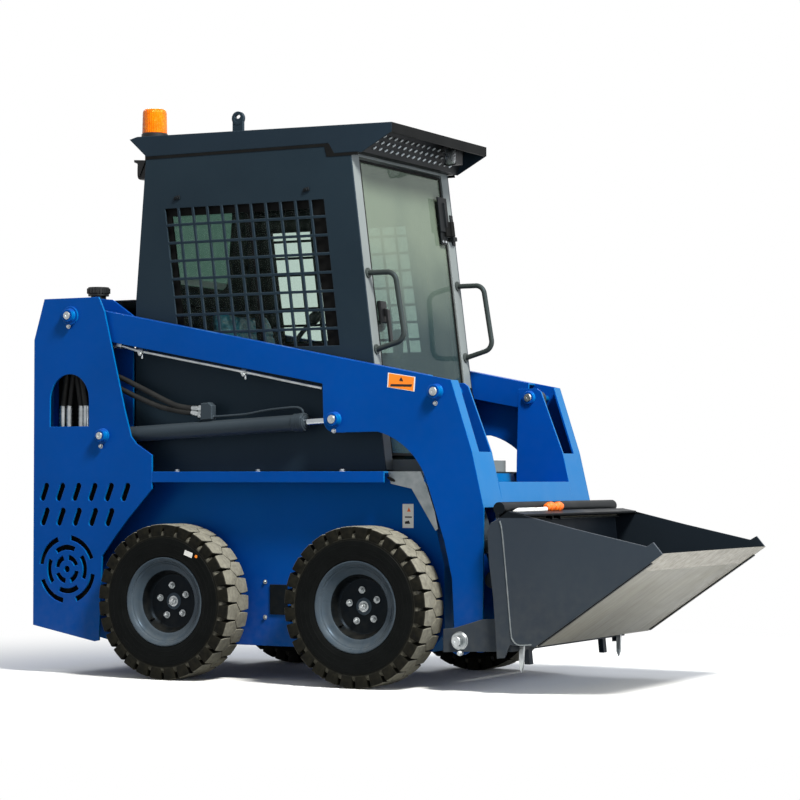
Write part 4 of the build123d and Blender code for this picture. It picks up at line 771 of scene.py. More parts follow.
# closed profile of the tyre's body: distance from its middle, and from the axle
HALF_BODY = [(54.0, 153.6), (56.6, 160.0), (58.6, 165.6), (63.5, 169.0), (68.0, 177.0), (71.0, 190.0),
             (72.6, 206.0), (73.0, 224.0), (72.4, 239.0), (71.0, 242.0), (71.6, 245.0), (70.4, 256.0),
             (66.0, 264.0), (56.0, 267.4), (34.0, 268.2), (12.0, 268.4)]
BODY = np.array(HALF_BODY + [(-w, r) for w, r in HALF_BODY[::-1]])
# a lug's stations: across and radius of the top, half width, across and radius of the foot
LUG = np.array([(-10.8, 291.2, 1.3, -10.8, 264.0), (13.2, 292.0, 30.6, 13.2, 264.0),
                (40.0, 292.0, 29.4, 40.0, 264.0), (62.0, 291.6, 27.0, 60.0, 263.0),
                (69.5, 290.2, 26.0, 62.0, 262.0), (73.2, 286.4, 25.4, 63.0, 261.0),
                (73.6, 270.0, 24.8, 66.0, 258.0), (73.5, 253.0, 24.0, 69.0, 250.0),
                (71.0, 247.0, 23.4, 69.0, 246.0)])


def lug_row(side_of_tyre, turn):
    """All lugs of one row in polar form: across, radius and angle of every point of the hat sections."""
    top_w, top_r, half, foot_w, foot_r = LUG.T[:, :, None]
    # across the section: foot, lower edge of the chamfer, top, middle, top, lower edge, foot
    drop = np.array([1.0, 0.09, 0.0, 0.0, 0.0, 0.09, 1.0])
    width = np.array([-1.05, -1.0, -0.93, 0.0, 0.93, 1.0, 1.05])
    w = top_w + (foot_w - top_w) * drop
    r = top_r + (foot_r - top_r) * drop
    angle = half * width / TREAD_R
    place = (np.arange(LUG_COUNT) * PITCH + turn)[:, None, None]
    shape = (LUG_COUNT, *w.shape)
    return (np.broadcast_to(side_of_tyre * w, shape), np.broadcast_to(r, shape), angle + place)


def around(axle_x, sign, w, r, angle):
    """Polar points on a wheel as points in space: r times the angle's cosine ahead of the axle, and r
    times its sine above it."""
    return np.stack([axle_x + r * np.cos(angle), sign * (TYRE_MIDDLE + w) + 0 * r,
                     AXLE_Z / MM + r * np.sin(angle)], axis=-1)


print("lugs every", round(TREAD_R * PITCH, 1), "mm round the tread")

# %% Tyres
axles = {"front": (FRONT_AXLE - MID) / MM, "rear": (REAR_AXLE - MID) / MM}
ring_angle = np.linspace(0, 2 * np.pi, BODY_SIDES, endpoint=False)[:, None]
body_w, body_r = np.broadcast_to(BODY.T[:, None, :], (2, BODY_SIDES, len(BODY)))
for end, axle_x in axles.items():
    for hand, sign in SIDES:
        shapes = [net(around(axle_x, sign, body_w, body_r, ring_angle + 0 * body_r), loop=True)]
        for row, turn in ((1, PITCH / 2), (-1, 0.0)):
            shapes += [net(grid) for grid in around(axle_x, sign, *lug_row(row, turn))]
        points = np.vstack([vertices for vertices, _ in shapes])
        from_axle = np.hypot(points[:, 0] - axle_x, points[:, 2] - AXLE_Z / MM)
        off_middle = np.abs(np.abs(points[:, 1]) - TYRE_MIDDLE)
        is_lug = np.arange(len(points)) >= len(shapes[0][0])
        groove = np.where(is_lug, 0.0, np.clip((from_axle - 248) / 8, 0, 1) * (off_middle > 50))
        tyre = piece(f"treaded_tyre_{end}_{hand}", shapes, "carbon_black_rubber", f"wheel_{end}_{hand}",
                     "tyre", smooth=30, axle_distance=from_axle, groove=groove)
        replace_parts(tyre, f"tyre_{end}_{hand}")
print("tyres", len(tyre.data.polygons), "faces each")

# %% [markdown]
# ## The wheels
#
# A pressed steel wheel is one sheet spun over a former: a rolled lip that holds the tyre, a groove,
# a barrel that steps down to the disc, and a dished disc bolted to the hub. Because it was spun, it
# is a profile taken round the axle. The solid wheel has straight cones, so the spun one stands for
# it. Bolts and nuts are six-sided turned shapes with their corners taken off.

# %% Sections of the wheel
DISC_FACE = 475.0       # |y| of the disc's outer face
# distance along the axle from the machine's middle, and radius; the ring runs round the section
WHEEL_SECTION = [(540.9, 165.2), (543.0, 167.2), (545.6, 166.6), (546.6, 163.4), (545.4, 160.0),
                 (541.5, 155.0), (538.4, 151.6), (534.0, 150.6), (531.5, 148.4), (530.5, 145.6),
                 (527.0, 143.0), (522.0, 138.0), (518.6, 130.0), (516.6, 121.0), (514.0, 117.6),
                 (508.0, 115.4), (492.0, 110.4), (482.0, 106.0), (476.4, 100.0), (475.2, 96.0),
                 (475.0, 90.0), (475.0, 34.0), (477.6, 30.0), (479.0, 26.0), (479.0, 0.0), (465.0, 0.0),
                 (465.0, 94.0), (468.0, 106.0), (474.0, 117.0), (486.0, 129.0), (497.0, 139.0),
                 (512.0, 143.6), (427.0, 144.0), (426.2, 147.0), (426.2, 151.6), (536.0, 151.9)]
HUB_SECTION = [(389.0, 0.0), (389.0, 30.0), (436.0, 30.0), (436.0, 77.0), (465.2, 77.0), (465.2, 0.0)]
# the black liner over the disc and the foot of the barrel, painted shade of the deep dish: height above the
# disc's face, and radius, out and back
DISH_SHADE = [(0.05, 30.5), (0.15, 95.8), (1.3, 99.9), (6.9, 105.7), (17.0, 110.1), (33.0, 115.1),
          (38.6, 117.2), (39.2, 116.4), (33.4, 113.9), (17.4, 108.9), (7.6, 104.6), (2.3, 98.9),
          (1.6, 94.2), (1.6, 31.2)]
BOLT_CIRCLE, BOLTS, FIRST_BOLT = 60.0, 5, 97    # radius, how many, and the first one's degrees


def spun(section, axle_x, sign, sides=96):
    """A closed section taken round an axle: y is sign times the distance, x and z go round."""
    reach, r = np.array(section).T
    a = np.linspace(0, 2 * np.pi, sides, endpoint=False)[:, None]
    return net(np.stack([axle_x + r * np.cos(a), sign * reach + 0 * a, AXLE_Z / MM + r * np.sin(a)], -1),
               loop=True)


print("wheel section of", len(WHEEL_SECTION), "points")

# %% Wheels, hub bolts and valve
for end, axle_x in axles.items():
    for hand, sign in SIDES:
        body, out = f"wheel_{end}_{hand}", (0.0, float(sign), 0.0)
        wheel = piece(f"spun_wheel_{end}_{hand}", [spun(WHEEL_SECTION, axle_x, sign),
                                                   spun(HUB_SECTION, axle_x, sign, 48)],
                      "wheel_powder_coat", body, "rim_paint", 28)
        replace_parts(wheel, f"rim_{end}_{hand}")
        centre = np.array([axle_x, sign * DISC_FACE, AXLE_Z / MM])
        # a black liner laid in the dish: painted shade
        piece(f"hub_recess_{end}_{hand}", [turned(DISH_SHADE, centre, out, 72)], "recess_paint", body,
              "black_paint", 28)
        hardware = []
        for k in range(BOLTS):
            a = math.radians(FIRST_BOLT + 360 / BOLTS * k)
            spot = centre + BOLT_CIRCLE * np.array([math.cos(a), 0, math.sin(a)])
            hardware += [turned([(1.0, 13.0), (3.4, 13.0), (4.0, 12.4)], spot, out, 24),
                         hexagon(spot + 3.8 * np.array(out), out, 17.0, 10.0, 11 * k),
                         turned([(13.0, 5.6), (17.5, 5.6), (18.5, 4.8)], spot, out, 16)]
        hardware += [hexagon(centre + 3.6 * np.array(out), out, 24.0, 13.0, 20),
                     turned([(3.0, 20.0), (4.6, 20.0), (5.2, 19.0)], centre, out, 28),
                     turned([(15.0, 8.0), (22.0, 8.0), (24.0, 6.4)], centre, out, 20),
                     turned([(-15.0, 1.8), (15.0, 1.8)], centre + 19.0 * np.array(out), (0.7, 0, 0.7), 8)]
        piece(f"hub_bolts_{end}_{hand}", hardware, "zinc_plate", body, "zinc_steel", 30)
        stem_foot = centre + np.array([-112 * math.cos(0.7), sign * 6, -112 * math.sin(0.7)])
        valve = turned([(0, 6.0), (8, 5.5), (10, 4.0), (24, 4.0), (24.5, 4.9), (33, 4.9), (34, 4.0)],
                       stem_foot, (0.35, sign, 0.25), 16)
        piece(f"valve_{end}_{hand}", [valve], "seal_rubber", body, "black_plastic", 30)
print("wheels dressed")

# %% [markdown]
# ## Pins, bosses and keepers
#
# The arms turn and the cylinders pull on plain steel pins. Each pin sits in a short welded tube, its
# end shows as a bright disc, and a small bolt through a keeper stops it from turning. They are all
# the same few turned shapes, put at the pins' places on every plate that they pass through.

# %% The end of a pin
TILT_PIN = (702.0, 1065.0)      # x and z of the pin between the arm and the tilt cylinder
PIN_R = 15.5
GUSSET_FACE = abs(np.array(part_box("front_gussets"))[:, 1]).max() / MM + 0.1


def pin_end(x, z, face, sign, boss_r, pin_r, out_by, keeper=None):
    """The boss tube, and the bright parts, of one pin where it leaves a plate at |y| = face."""
    out = (0.0, float(sign), 0.0)
    foot = np.array([x, sign * face, z])
    boss = turned([(0.0, boss_r + 3.5), (1.5, boss_r + 2.5), (4.0, boss_r), (out_by - 1.5, boss_r),
                   (out_by, boss_r - 1.5), (out_by, pin_r + 0.6), (out_by - 3, pin_r + 0.4)], foot, out, 40)
    bright = [turned([(out_by - 3, pin_r), (out_by + 2.5, pin_r), (out_by + 4, pin_r - 1.6),
                      (out_by + 4, 4.5), (out_by + 2.4, 3.5)], foot, out, 36)]
    if keeper is not None:
        spot = foot + np.array([keeper[0], 0, keeper[1]])
        bright += [turned([(0, 8.5), (1.6, 8.5), (2.0, 8.0)], spot, out, 20),
                   hexagon(spot + 2 * np.array(out), out, 12.0, 8.0, 15)]
    return boss, bright


print("gussets' faces at", round(GUSSET_FACE, 1), "mm")

# %% Pins
PINS = [  # body, x, z, |y| of the plate's face, boss radius, pin radius, how far it stands out
    ("root", -882.0, 1384.0, 497.0, 25.0, 15.0, 18.0),
    ("root", -728.0, 918.0, 497.0, 23.0, 14.0, 18.0),
    ("loader_arm", 285.0, 970.0, 471.0, 25.0, PIN_R, 26.0),
    ("loader_arm", *TILT_PIN, 471.0, 25.0, PIN_R, 26.0),
]
for hand, sign in SIDES:
    gathered = {}
    for body, x, z, face, boss_r, pin_r, out_by in PINS:
        boss, bright = pin_end(x, z, face, sign, boss_r, pin_r, out_by, (-3.0, -boss_r - 17.0))
        gathered.setdefault(body, ([], []))
        gathered[body][0].append(boss)
        gathered[body][1].extend(bright)
    for body, (bosses, bright) in gathered.items():
        piece(f"pin_bosses_{body}_{hand}", bosses, "blue_powder_coat", body, "blue_paint")
        piece(f"pins_{body}_{hand}", bright, "zinc_plate", body, "zinc_steel")
    # the tilt pins stand off the inner faces of the drop boxes too, and off the outer side of the
    # boxes' inner plates, inside the slot
    for where, face, way, out_by in (("inner", -309.0, -sign, 12.0), ("slot", 317.2, sign, 22.0)):
        boss, bright = pin_end(*TILT_PIN, face, way, 24.0, PIN_R, out_by)
        piece(f"{where}_boss_{hand}", [boss], "blue_powder_coat", "loader_arm", "blue_paint")
        piece(f"{where}_pin_{hand}", bright, "zinc_plate", "loader_arm", "zinc_steel")
    # the bucket pin is held by a flagged collar on the ear
    out, foot = (0.0, float(sign), 0.0), np.array([802.0, sign * 486.5, 181.0])
    collar = [turned([(0, 33), (1.5, 31), (6, 30.5), (7.5, 29), (7.5, 18.6), (5, 18.4)], foot, out, 40),
              turned([(5, 18.0), (30, 18.0), (32, 16.0), (32, 5.0), (30.5, 4.0)], foot, out, 40),
              turned([(0, 9), (14, 9), (15, 8)], foot + (7, 0, -43), out, 20),
              hexagon(foot + (7, sign * 15.0, -43), out, 13.0, 8.0, 15)]
    piece(f"bucket_collar_{hand}", collar, "zinc_plate", "bucket_assembly", "zinc_steel")
# a black oval near the rear of each galvanised gusset stands for a slotted hole: painted shade of the dark
# space behind it
a = np.linspace(0, 2 * np.pi, 28, endpoint=False)
oval = np.stack([510 + 17 * np.cos(a) - 4 * np.sin(a), 752 + 8 * np.sin(a) - 5 * np.cos(a)], -1)
for hand, sign in SIDES:
    piece(f"gusset_slot_{hand}", [side_plate(oval, GUSSET_FACE, sign, 0.5, 0.1)], "seal_rubber", "root",
          "black_plastic")
print("pins set")

# %% [markdown]
# ## Hydraulic pipes and hoses
#
# Oil goes forward in plain steel pipes clamped under each arm, and reaches the lift cylinders
# through two rubber hoses each. Pipe is bent cold on a former, so it runs straight between soft
# bends. A hose leaves its fitting straight, because its end is crimped in a steel sleeve. The
# hoses cross from the frame to the barrel; here they belong to neither body and stay as laid.

# %% Where the oil runs
PIPE_Y, HOSE_Y, THIN_Y = 452.0, 437.0, 440.0    # distance of each line from the machine's middle plane
PIPE_RUN = [(-712, 1268), (-668, 1264), (-606, 1247), (-578, 1241), (-330, 1194), (-114, 1153), (120, 1106),
            (222, 1086)]
CLAMPS = ((-578, 1241), (-114, 1153))
THIN_RUN = [(-330, 984), (-250, 987), (-120, 994), (-40, 1006), (50, 1015), (104, 1017), (128, 1008),
            (134, 988)]
BLOCK = [(-308, 974), (-257, 977), (-256, 1028), (-272, 1041), (-306, 1038)]
CLAMP_TAB = [(-18, -6), (18, -12), (18, 34), (-18, 40)]
LIFT_HOSES = {
    "upper": [(-700, 1146), (-672, 1138), (-581, 1098), (-446, 1038), (-384, 1023), (-346, 1020)],
    "lower": [(-702, 1106), (-680, 1098), (-601, 1064), (-500, 1028), (-400, 1008), (-346, 1003)],
}


def beside(run, y):
    """The (x, z) points of a run as points in space, in the upright plane at y."""
    return [(x, y, z) for x, z in run]


print("runs of", len(PIPE_RUN), "and", len(THIN_RUN), "points")

# %% Pipes, clamps and hoses
for hand, sign in SIDES:
    path = curve_through(beside(PIPE_RUN, sign * PIPE_Y), 90)
    shapes = [tube(path, 6.6, 14)]
    for spot in (5, 8, 11):
        shapes.append(turned([(-13, 9.5), (-12, 11.6), (12, 11.6), (13, 9.5)], path[spot],
                             path[spot + 1] - path[spot], 6, 22.5))
    piece(f"arm_pipe_{hand}", shapes, "zinc_plate", "loader_arm", "zinc_steel")
    clamps, tabs = [], []
    for x, z in CLAMPS:
        clamps += [turned([(-11, 12), (-10, 13), (10, 13), (11, 12)], (x, sign * PIPE_Y, z),
                          (1.0, 0, -0.185), 6),
                   hexagon((x + 4, sign * (PIPE_Y + 10), z - 12), (0, sign, 0), 13.0, 8.0, 10),
                   turned([(0, 4), (16, 4)], (x + 4, sign * PIPE_Y, z - 12), (0, 0, -1), 10)]
        tab = [(x + dx, z + dz) for dx, dz in CLAMP_TAB]
        tabs.append(side_plate(tab, PIPE_Y - 8, sign, 5, 0.8, grow=-1))
    piece(f"pipe_clamps_{hand}", clamps, "zinc_plate", "loader_arm", "zinc_steel")
    piece(f"clamp_tabs_{hand}", tabs, "blue_powder_coat", "loader_arm", "blue_paint")

    # block on the lift barrel, its fittings, and the thin pipe to the gland end
    thin = curve_through(beside(THIN_RUN, sign * THIN_Y), 60)
    piece(f"port_block_{hand}", [side_plate(BLOCK, 424, sign, 32, 3), tube(thin, 4.6, 12)], "barrel_paint",
          "lift_cylinder_barrels", "cab_paint")
    fittings = []
    for y, nut_z, sleeve_z, rise in ((439, 1018, 1018, 0.1), (443, 996, 997, 0.25)):
        fittings += [hexagon((-307, sign * y, nut_z), (-1, 0, 0.05), 23.0, 16.0),
                     turned([(0, 8), (6, 10.5), (30, 10.5), (32, 9.4)], (-322, sign * y, sleeve_z),
                            (-1, 0, rise), 18)]
    piece(f"barrel_fittings_{hand}", fittings, "zinc_plate", "lift_cylinder_barrels", "zinc_steel")
    collar = turned([(0, 31.5), (2, 34), (20, 34), (23, 32), (26, 26), (30, 24), (30, 16)],
                    (116, sign * 438.5, 961.3), (0.9987, 0, 0.0513), 40)
    piece(f"lift_gland_{hand}", [collar], "barrel_paint", "lift_cylinder_barrels", "cab_paint")
    for level, run in LIFT_HOSES.items():
        path = curve_through(beside(run, sign * HOSE_Y), 70)
        made = piece(f"lift_hose_{level}_{hand}", [tube(path, 10.5, 16)], "hose_rubber", None,
                     "black_plastic")
        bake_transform(made)
print("hydraulics laid")

# %% [markdown]
# ## Inside the cab
#
# A cab is lined with black foam against noise. The foam is near black, partly its own colour and
# partly painted shade, which is why the cab looks so dark from outside. Each liner is a flat ring of
# sheet around a window, so its section is carried round the window's outline: outer edge, front
# face, inner edge, back face. Behind each guard of flat bars is a sliding window of two panes in a
# black rubber-edged frame.

# %% The cab's leaning lines
LEAN = math.radians(7.2)
FRONT_FOOT, SILL_TOP = 456.0, 780.0     # x and z of the front's foot
REAR_FACE, SHOULDER, ROOF_FOOT = -636.0, 1442.0, 1996.0     # x of the rear wall, and where it leans


def front_x(z):
    """The cab's leaning front line: x falls by the tangent of the lean for each millimetre of height."""
    return FRONT_FOOT - (z - SILL_TOP) * math.tan(LEAN)


def rear_x(z):
    """Inner face of the cab's rear wall, upright to the shoulder and leaning above it."""
    return REAR_FACE + np.clip((z - SHOULDER) / (ROOF_FOOT - SHOULDER), 0, 1) * 44.0


def sheet_ring(outer, inner, y_low, y_high):
    """A flat ring between two outlines with as many points, from one |y| to another."""
    outer, inner = np.array(outer, float), np.array(inner, float)
    rows = [(outer, y_low), (outer, y_high), (inner, y_high), (inner, y_low)]
    grid = [np.stack([line[:, 0], np.full(len(line), y), line[:, 1]], axis=-1) for line, y in rows]
    return net(np.array(grid), loop=True)


def guard_corner(x_at_top, z):
    """A point of the guard, which leans with the cab's front."""
    return x_at_top + (1790.0 - z) * math.tan(LEAN), z


def leaning(low_x, high_x, low_z, high_z):
    """Four corners of a guard, rail or pane that leans with the front."""
    return [guard_corner(x, z) for x, z in rectangle(low_x, high_x, low_z, high_z)]


WINDOW = leaning(-516, 199, 1234, 1801)
WALL = [(rear_x(1000) + 12, 1010.0), (front_x(1010) - 48, 1010.0), (front_x(1946) - 48, 1946.0),
        (rear_x(1946) + 12, 1946.0)]
print("window", [round(x) for x, _ in WINDOW], "front at roof", round(front_x(ROOF_FOOT)))

# %% Liners and side windows
for hand, sign in SIDES:
    liner = sheet_ring(WALL, WINDOW, sign * 378.0, sign * 387.0)
    piece(f"side_liner_{hand}", [liner], "black_foam_and_painted_shade", "root", "black_plastic")
    inside = np.array(WINDOW) + np.array([(26, 22), (-66, 22), (-66, -40), (26, -40)])
    shapes = [sheet_ring(WINDOW, inside, sign * 366.0, sign * 377.5)]
    # meeting rails where the two panes pass each other, and a slim handle on the front one
    for x_top, deep in ((-166.0, 368.0), (-142.0, 374.0)):
        low, high = guard_corner(x_top, 1258), guard_corner(x_top, 1777)
        outline = [(low[0] - 9, low[1]), (low[0] + 9, low[1]), (high[0] + 9, high[1]), (high[0] - 9, high[1])]
        shapes.append(side_plate(outline, deep, sign, 5, 1, grow=-1))
    panes = [side_plate(leaning(rear_top, front_top, 1252, 1784), deep, sign, 3.5, 0.5, grow=-1)
             for rear_top, front_top, deep in ((-490.0, -150.0, 373.0), (-158.0, 172.0, 368.0))]
    piece(f"sliding_frame_{hand}", shapes, "seal_rubber", "root", "black_plastic")
    piece(f"sliding_panes_{hand}", panes, "sliding_pane_glass", "root", "cab_glass")
    outline = [(front_x(1246) - 46, sign * 346, 1246), (front_x(1246) - 46, sign * 376, 1246),
               (front_x(1940) - 46, sign * 376, 1940), (front_x(1940) - 46, sign * 346, 1940)]
    piece(f"post_trim_{hand}", [plate(outline, (0, 0, 0), (-1, 0, 0), 12, 2)], "black_foam_and_painted_shade", "root",
          "black_plastic")

print("sides lined")

# %% Headlining and rear wall
roof_lining = [(x, y, 0) for x, y in rectangle(rear_x(1990) + 8, 300, -384, 384)]
piece("headlining", [plate(roof_lining, (0, 0, 1976), (0, 0, 1), 14, 3)], "black_foam_and_painted_shade", "root",
      "black_plastic")


def rear_wall(y, z, off):
    """A point on the inside of the leaning rear wall, `off` millimetres into the cab."""
    return rear_x(z) + off, y, z


def wall_ring(outer, inner, near, far):
    """A ring on the rear wall between two outlines of (y, z)."""
    rows = [[rear_wall(y, z, off) for y, z in line] for line, off in
            ((outer, near), (outer, far), (inner, far), (inner, near))]
    return net(np.array(rows, float), loop=True)


def rounded_box(half, low, high, r):
    """A rectangle in (y, z) with corners of radius r, each a quarter turn of six points."""
    a = np.linspace(0, np.pi / 2, 6)
    corners = [(half - r, high - r, 0), (-half + r, high - r, 1), (-half + r, low + r, 2),
               (half - r, low + r, 3)]
    return np.vstack([np.stack([y + r * np.cos(a + k * np.pi / 2), z + r * np.sin(a + k * np.pi / 2)], -1)
                      for y, z, k in corners])


hole = rounded_box(240, 1520, 1866, 45)
piece("rear_liner", [wall_ring(rounded_box(376, 1446, 1960, 4), hole, 2, 10)], "black_foam_and_painted_shade", "root",
      "black_plastic")
piece("rear_window_seal", [wall_ring(rounded_box(252, 1508, 1878, 52), hole, 10.3, 18)], "seal_rubber",
      "root", "black_plastic")
lower = [(REAR_FACE + 4, y, z) for y, z in rectangle(-378, 378, 1000, 1444)]
piece("bulkhead_pad", [plate(lower, (0, 0, 0), (1, 0, 0), 26, 6)], "black_foam_and_painted_shade", "root", "black_plastic")
print("cab lined")

# %% [markdown]
# ## The cab's small fittings
#
# A work lamp has a black case with a squared bezel and a shallow domed lens over a silvered bowl.
# Behind the slotted header is a pale plate, so the slots read bright. The door is one pane of
# toughened glass in a slim black edging, hung on two black hinges whose leaves are screwed on with
# small domed screws.

# %% Lamps
metal("silvered_bowl", "#C6CACC", "#A4A8AC", 0.28, 0.006, 0.0008)


def squared(wave):
    """What squares off an oval: a sine or cosine to the power 0.45, with its sign kept."""
    return np.sign(wave) * np.abs(wave) ** 0.45


def lamp_face(centre, look, across, half_across, half_up):
    """Bezel and lens of a lamp that looks one way: a squared-off oval ring and a shallow dome."""
    a = np.linspace(0, 2 * np.pi, 40, endpoint=False)
    oval = np.stack([squared(np.cos(a)), squared(np.sin(a))], -1)
    ring = [(1.0, 0.0), (1.0, 7.0), (0.93, 9.0), (0.86, 7.0), (0.84, 1.0)]
    dome = [(0.85, 2.0), (0.83, 4.5), (0.6, 7.0), (0.3, 8.2), (0.04, 8.5)]
    made = []
    for rows in (ring, dome):
        grid = [np.array(centre) + h * np.array(look) + half_across * k * oval[:, :1] * np.array(across)
                + half_up * k * oval[:, 1:] * np.array(UP) for k, h in rows]
        made.append(net(np.array(grid)))
    return made


bezels, lenses = [], []
# the visor's lamp is swivelled to light the right-hand wheel, and the rear two look straight back
LAMPS = [((420.0, 199.9, 2003.0), (0, -1, 0), (1, 0, 0), 29.0, 37.0)]
LAMPS += [((-645.2, y, 1947.5), BACK, (0, 1, 0), 33.0, 33.5) for y in (-340.0, 340.0)]
for centre, look, across, half_across, half_up in LAMPS:
    bezel, lens = lamp_face(centre, look, across, half_across, half_up)
    if look == BACK:    # a sloping hood keeps rain and glare off the rear lamps
        x, y, _ = centre
        hood = [(x + 34, 1986), (x - 22, 1990), (x - 22, 1982), (x - 6, 1976), (x, 1924), (x + 4, 1924)]
        bezels.append(side_plate(hood, y - 36, 1, 72, 2))
    bezels.append(bezel)
    lenses.append(lens)
piece("lamp_bezels", bezels, "moulded_black_plastic", "root", "black_plastic")
piece("lamp_lenses", lenses, "silvered_bowl", "root", "galvanised")
print("lamps", len(lenses))

# %% The header's backing, and places on the leaning front
HEADER_UP = np.array([0.383, 0, 0.924])     # the header leans forward as it rises
HEADER_OUT = np.array([0.924, 0, -0.383])
backing = [(345, -330, 1962.0), (345, 330, 1962.0), (379, 330, 2044.0), (379, -330, 2044.0)]
piece("header_backing", [plate(backing, (0, 0, 0), -HEADER_OUT, 2, 0.4)], "pale_grey_painted_sunlight", "root",
      "post_paint")


def on_front(y, up, out):
    """A point on the cab's leaning front: across, up the posts from the sill, and out from it."""
    return np.array([FRONT_FOOT - up * math.sin(LEAN) + out * math.cos(LEAN), y,
                     SILL_TOP + up * math.cos(LEAN) + out * math.sin(LEAN)])


OUTWARD = on_front(0, 0, 1) - on_front(0, 0, 0)


def front_plate(y_low, y_high, up_low, up_high, out, thickness, edge=1.0):
    """A flat plate on the leaning front."""
    corners = [on_front(y, up, out) for y, up in rectangle(y_low, y_high, up_low, up_high)]
    return plate(corners, (0, 0, 0), OUTWARD, thickness, edge)


print("header backed; outward is", OUTWARD.round(3))

# %% Door edging, pane and hinges
DOOR_HALF, DOOR_LOW, DOOR_HIGH = 328.0, 60.4, 1168.0    # half width, and foot and head up the posts
HINGES = (("lower", 240.0), ("upper", 930.0))


def front_ring(half, low, high, inset, near, out):
    """A ring on the leaning front between a rectangle and the same one drawn in by `inset`."""
    rows = [[on_front(y, up, depth)
             for y, up in rectangle(step - half, half - step, low + step, high - step)]
            for step, depth in ((0, near), (0, out), (inset, out), (inset, near))]
    return net(np.array(rows), loop=True)


edging = [front_ring(DOOR_HALF, DOOR_LOW, DOOR_HIGH, 9.0, -24.0, -4.0)]
for _, up in HINGES:
    edging.append(turned([(0, 8), (1, 11), (59, 11), (60, 8)], on_front(342, up, 17),
                         on_front(0, 1, 0) - on_front(0, 0, 0), 24))
    edging.append(front_plate(296, 341, up, up + 60, 8.0, 8.0, 2.0))
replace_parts(piece("door_edging", edging, "seal_rubber", "cab_door_assembly", "black_plastic"), "cab_door")
pane = front_plate(-DOOR_HALF + 8, DOOR_HALF - 8, DOOR_LOW + 8, DOOR_HIGH - 8, -13.0, 5.0, 0.5)
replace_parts(piece("door_pane", [pane], "green_tinted_glass", "cab_door_assembly", "cab_glass"), "door_glass")
for level, up in HINGES:
    leaf = [front_plate(262, 310, up - 34, up + 94, 1.2, 6.0, 1.5)]
    screws = [turned([(0, 6), (2, 5.6), (3.4, 3.4), (3.6, 0.6)], on_front(y, up + h, 7.2), OUTWARD, 16)
              for h in (-22, 82) for y in (274, 298)]
    piece(f"hinge_leaf_{level}", leaf, "black_powder_coat", "cab_door_assembly", "black_paint")
    piece(f"hinge_screws_{level}", screws, "zinc_plate", "cab_door_assembly", "zinc_steel")
    foot = [front_plate(364, 386, up - 30, up + 92, 0.2, 5.0, 1.5)]
    piece(f"hinge_foot_{level}", foot, "black_powder_coat", "root", "black_paint")
cover = [front_plate(254, 330, 946, 1084, 7.4, 6.0, 1.5), front_plate(296, 306, 966, 1064, 13.4, 5.0, 1.0)]
piece("hinge_cover", cover, "black_powder_coat", "cab_door_assembly", "black_paint")
print("door hung on", len(HINGES), "hinges")

# %% Latch and header inserts
latch = [front_plate(-322, -276, 552, 634, 0.4, 16.0, 4.0),
         front_plate(-306, -290, 576, 604, 16.0, 10.0, 2.0),
         front_plate(-308, -288, 470, 600, 25.0, 9.0, 3.0)]
piece("door_latch", latch, "moulded_black_plastic", "cab_door_assembly", "black_plastic")
# the header's slots, which slant at 30 degrees, are filled from behind with pale acrylic
SLANT = math.radians(30)
slot_long = np.array([0, math.cos(SLANT), 0]) + HEADER_UP * math.sin(SLANT)
slot_short = np.array([0, -math.sin(SLANT), 0]) + HEADER_UP * math.cos(SLANT)
SLOT = [(-8, -3.3), (8, -3.3), (10.5, 0), (8, 3.3), (-8, 3.3), (-10.5, 0)]
inserts = []
for row in (-1, 0, 1):
    for column in range(-7, 8):
        spot = np.array([370, 44.0 * column, 2003.5]) + 25.0 * row * HEADER_UP
        inserts.append(plate([spot + p * slot_long + q * slot_short for p, q in SLOT], (0, 0, 0), HEADER_OUT,
                             3.4, 0.3))
piece("header_inserts", inserts, "pale_slot_acrylic", "root", "post_paint")
print("slots filled", len(inserts))

# %% Window catches, sill bolts and lifting rings
SILL_BOLTS = (-420, -60, 300)
for hand, sign in SIDES:
    out = (0.0, float(sign), 0.0)
    catches = []
    for x in (-455, 118):
        leaf = [(x - 14, 1820), (x + 16, 1824), (x + 12, 1838), (x - 10, 1834)]
        catches += [side_plate(leaf, 394.2, sign, 6, 1.5),
                    turned([(0, 5), (3, 5), (4, 4)], (x + 2, sign * 400.0, 1829), out, 14)]
    piece(f"window_catches_{hand}", catches, "black_powder_coat", "root", "black_paint")
    bolts = [hexagon((x, sign * 440.0, SILL_TOP + 0.2), UP, 17.0, 9.0, 12 * x) for x in SILL_BOLTS]
    bolts += [turned([(0, 12), (1.6, 12)], (x, sign * 440.0, SILL_TOP + 0.1), UP, 20) for x in SILL_BOLTS]
    piece(f"sill_bolts_{hand}", bolts, "zinc_plate", "root", "zinc_steel")
a = np.linspace(0, 2 * np.pi, 40, endpoint=False)
circle = np.stack([np.cos(a), np.sin(a)], axis=-1)
EYE = np.array((-205, 2123))
for hand, sign in SIDES:
    ring = sheet_ring(EYE + 26.0 * circle, EYE + 14.5 * circle, sign * 345.0, sign * 359.0)
    piece(f"lifting_ring_{hand}", [ring], "graphite_powder_coat", "root", "black_paint")
print("catches and bolts set")

# %% [markdown]
# ## Roof joint and beacon
#
# The roof is a lid that sits over the cab; the shadow in the gap under its skirt is painted as a
# thin black strip, a dark line that steps down over the posts. The beacon's dome is moulded acrylic, a
# little wider at its foot, so it is a turned profile with round shoulders.

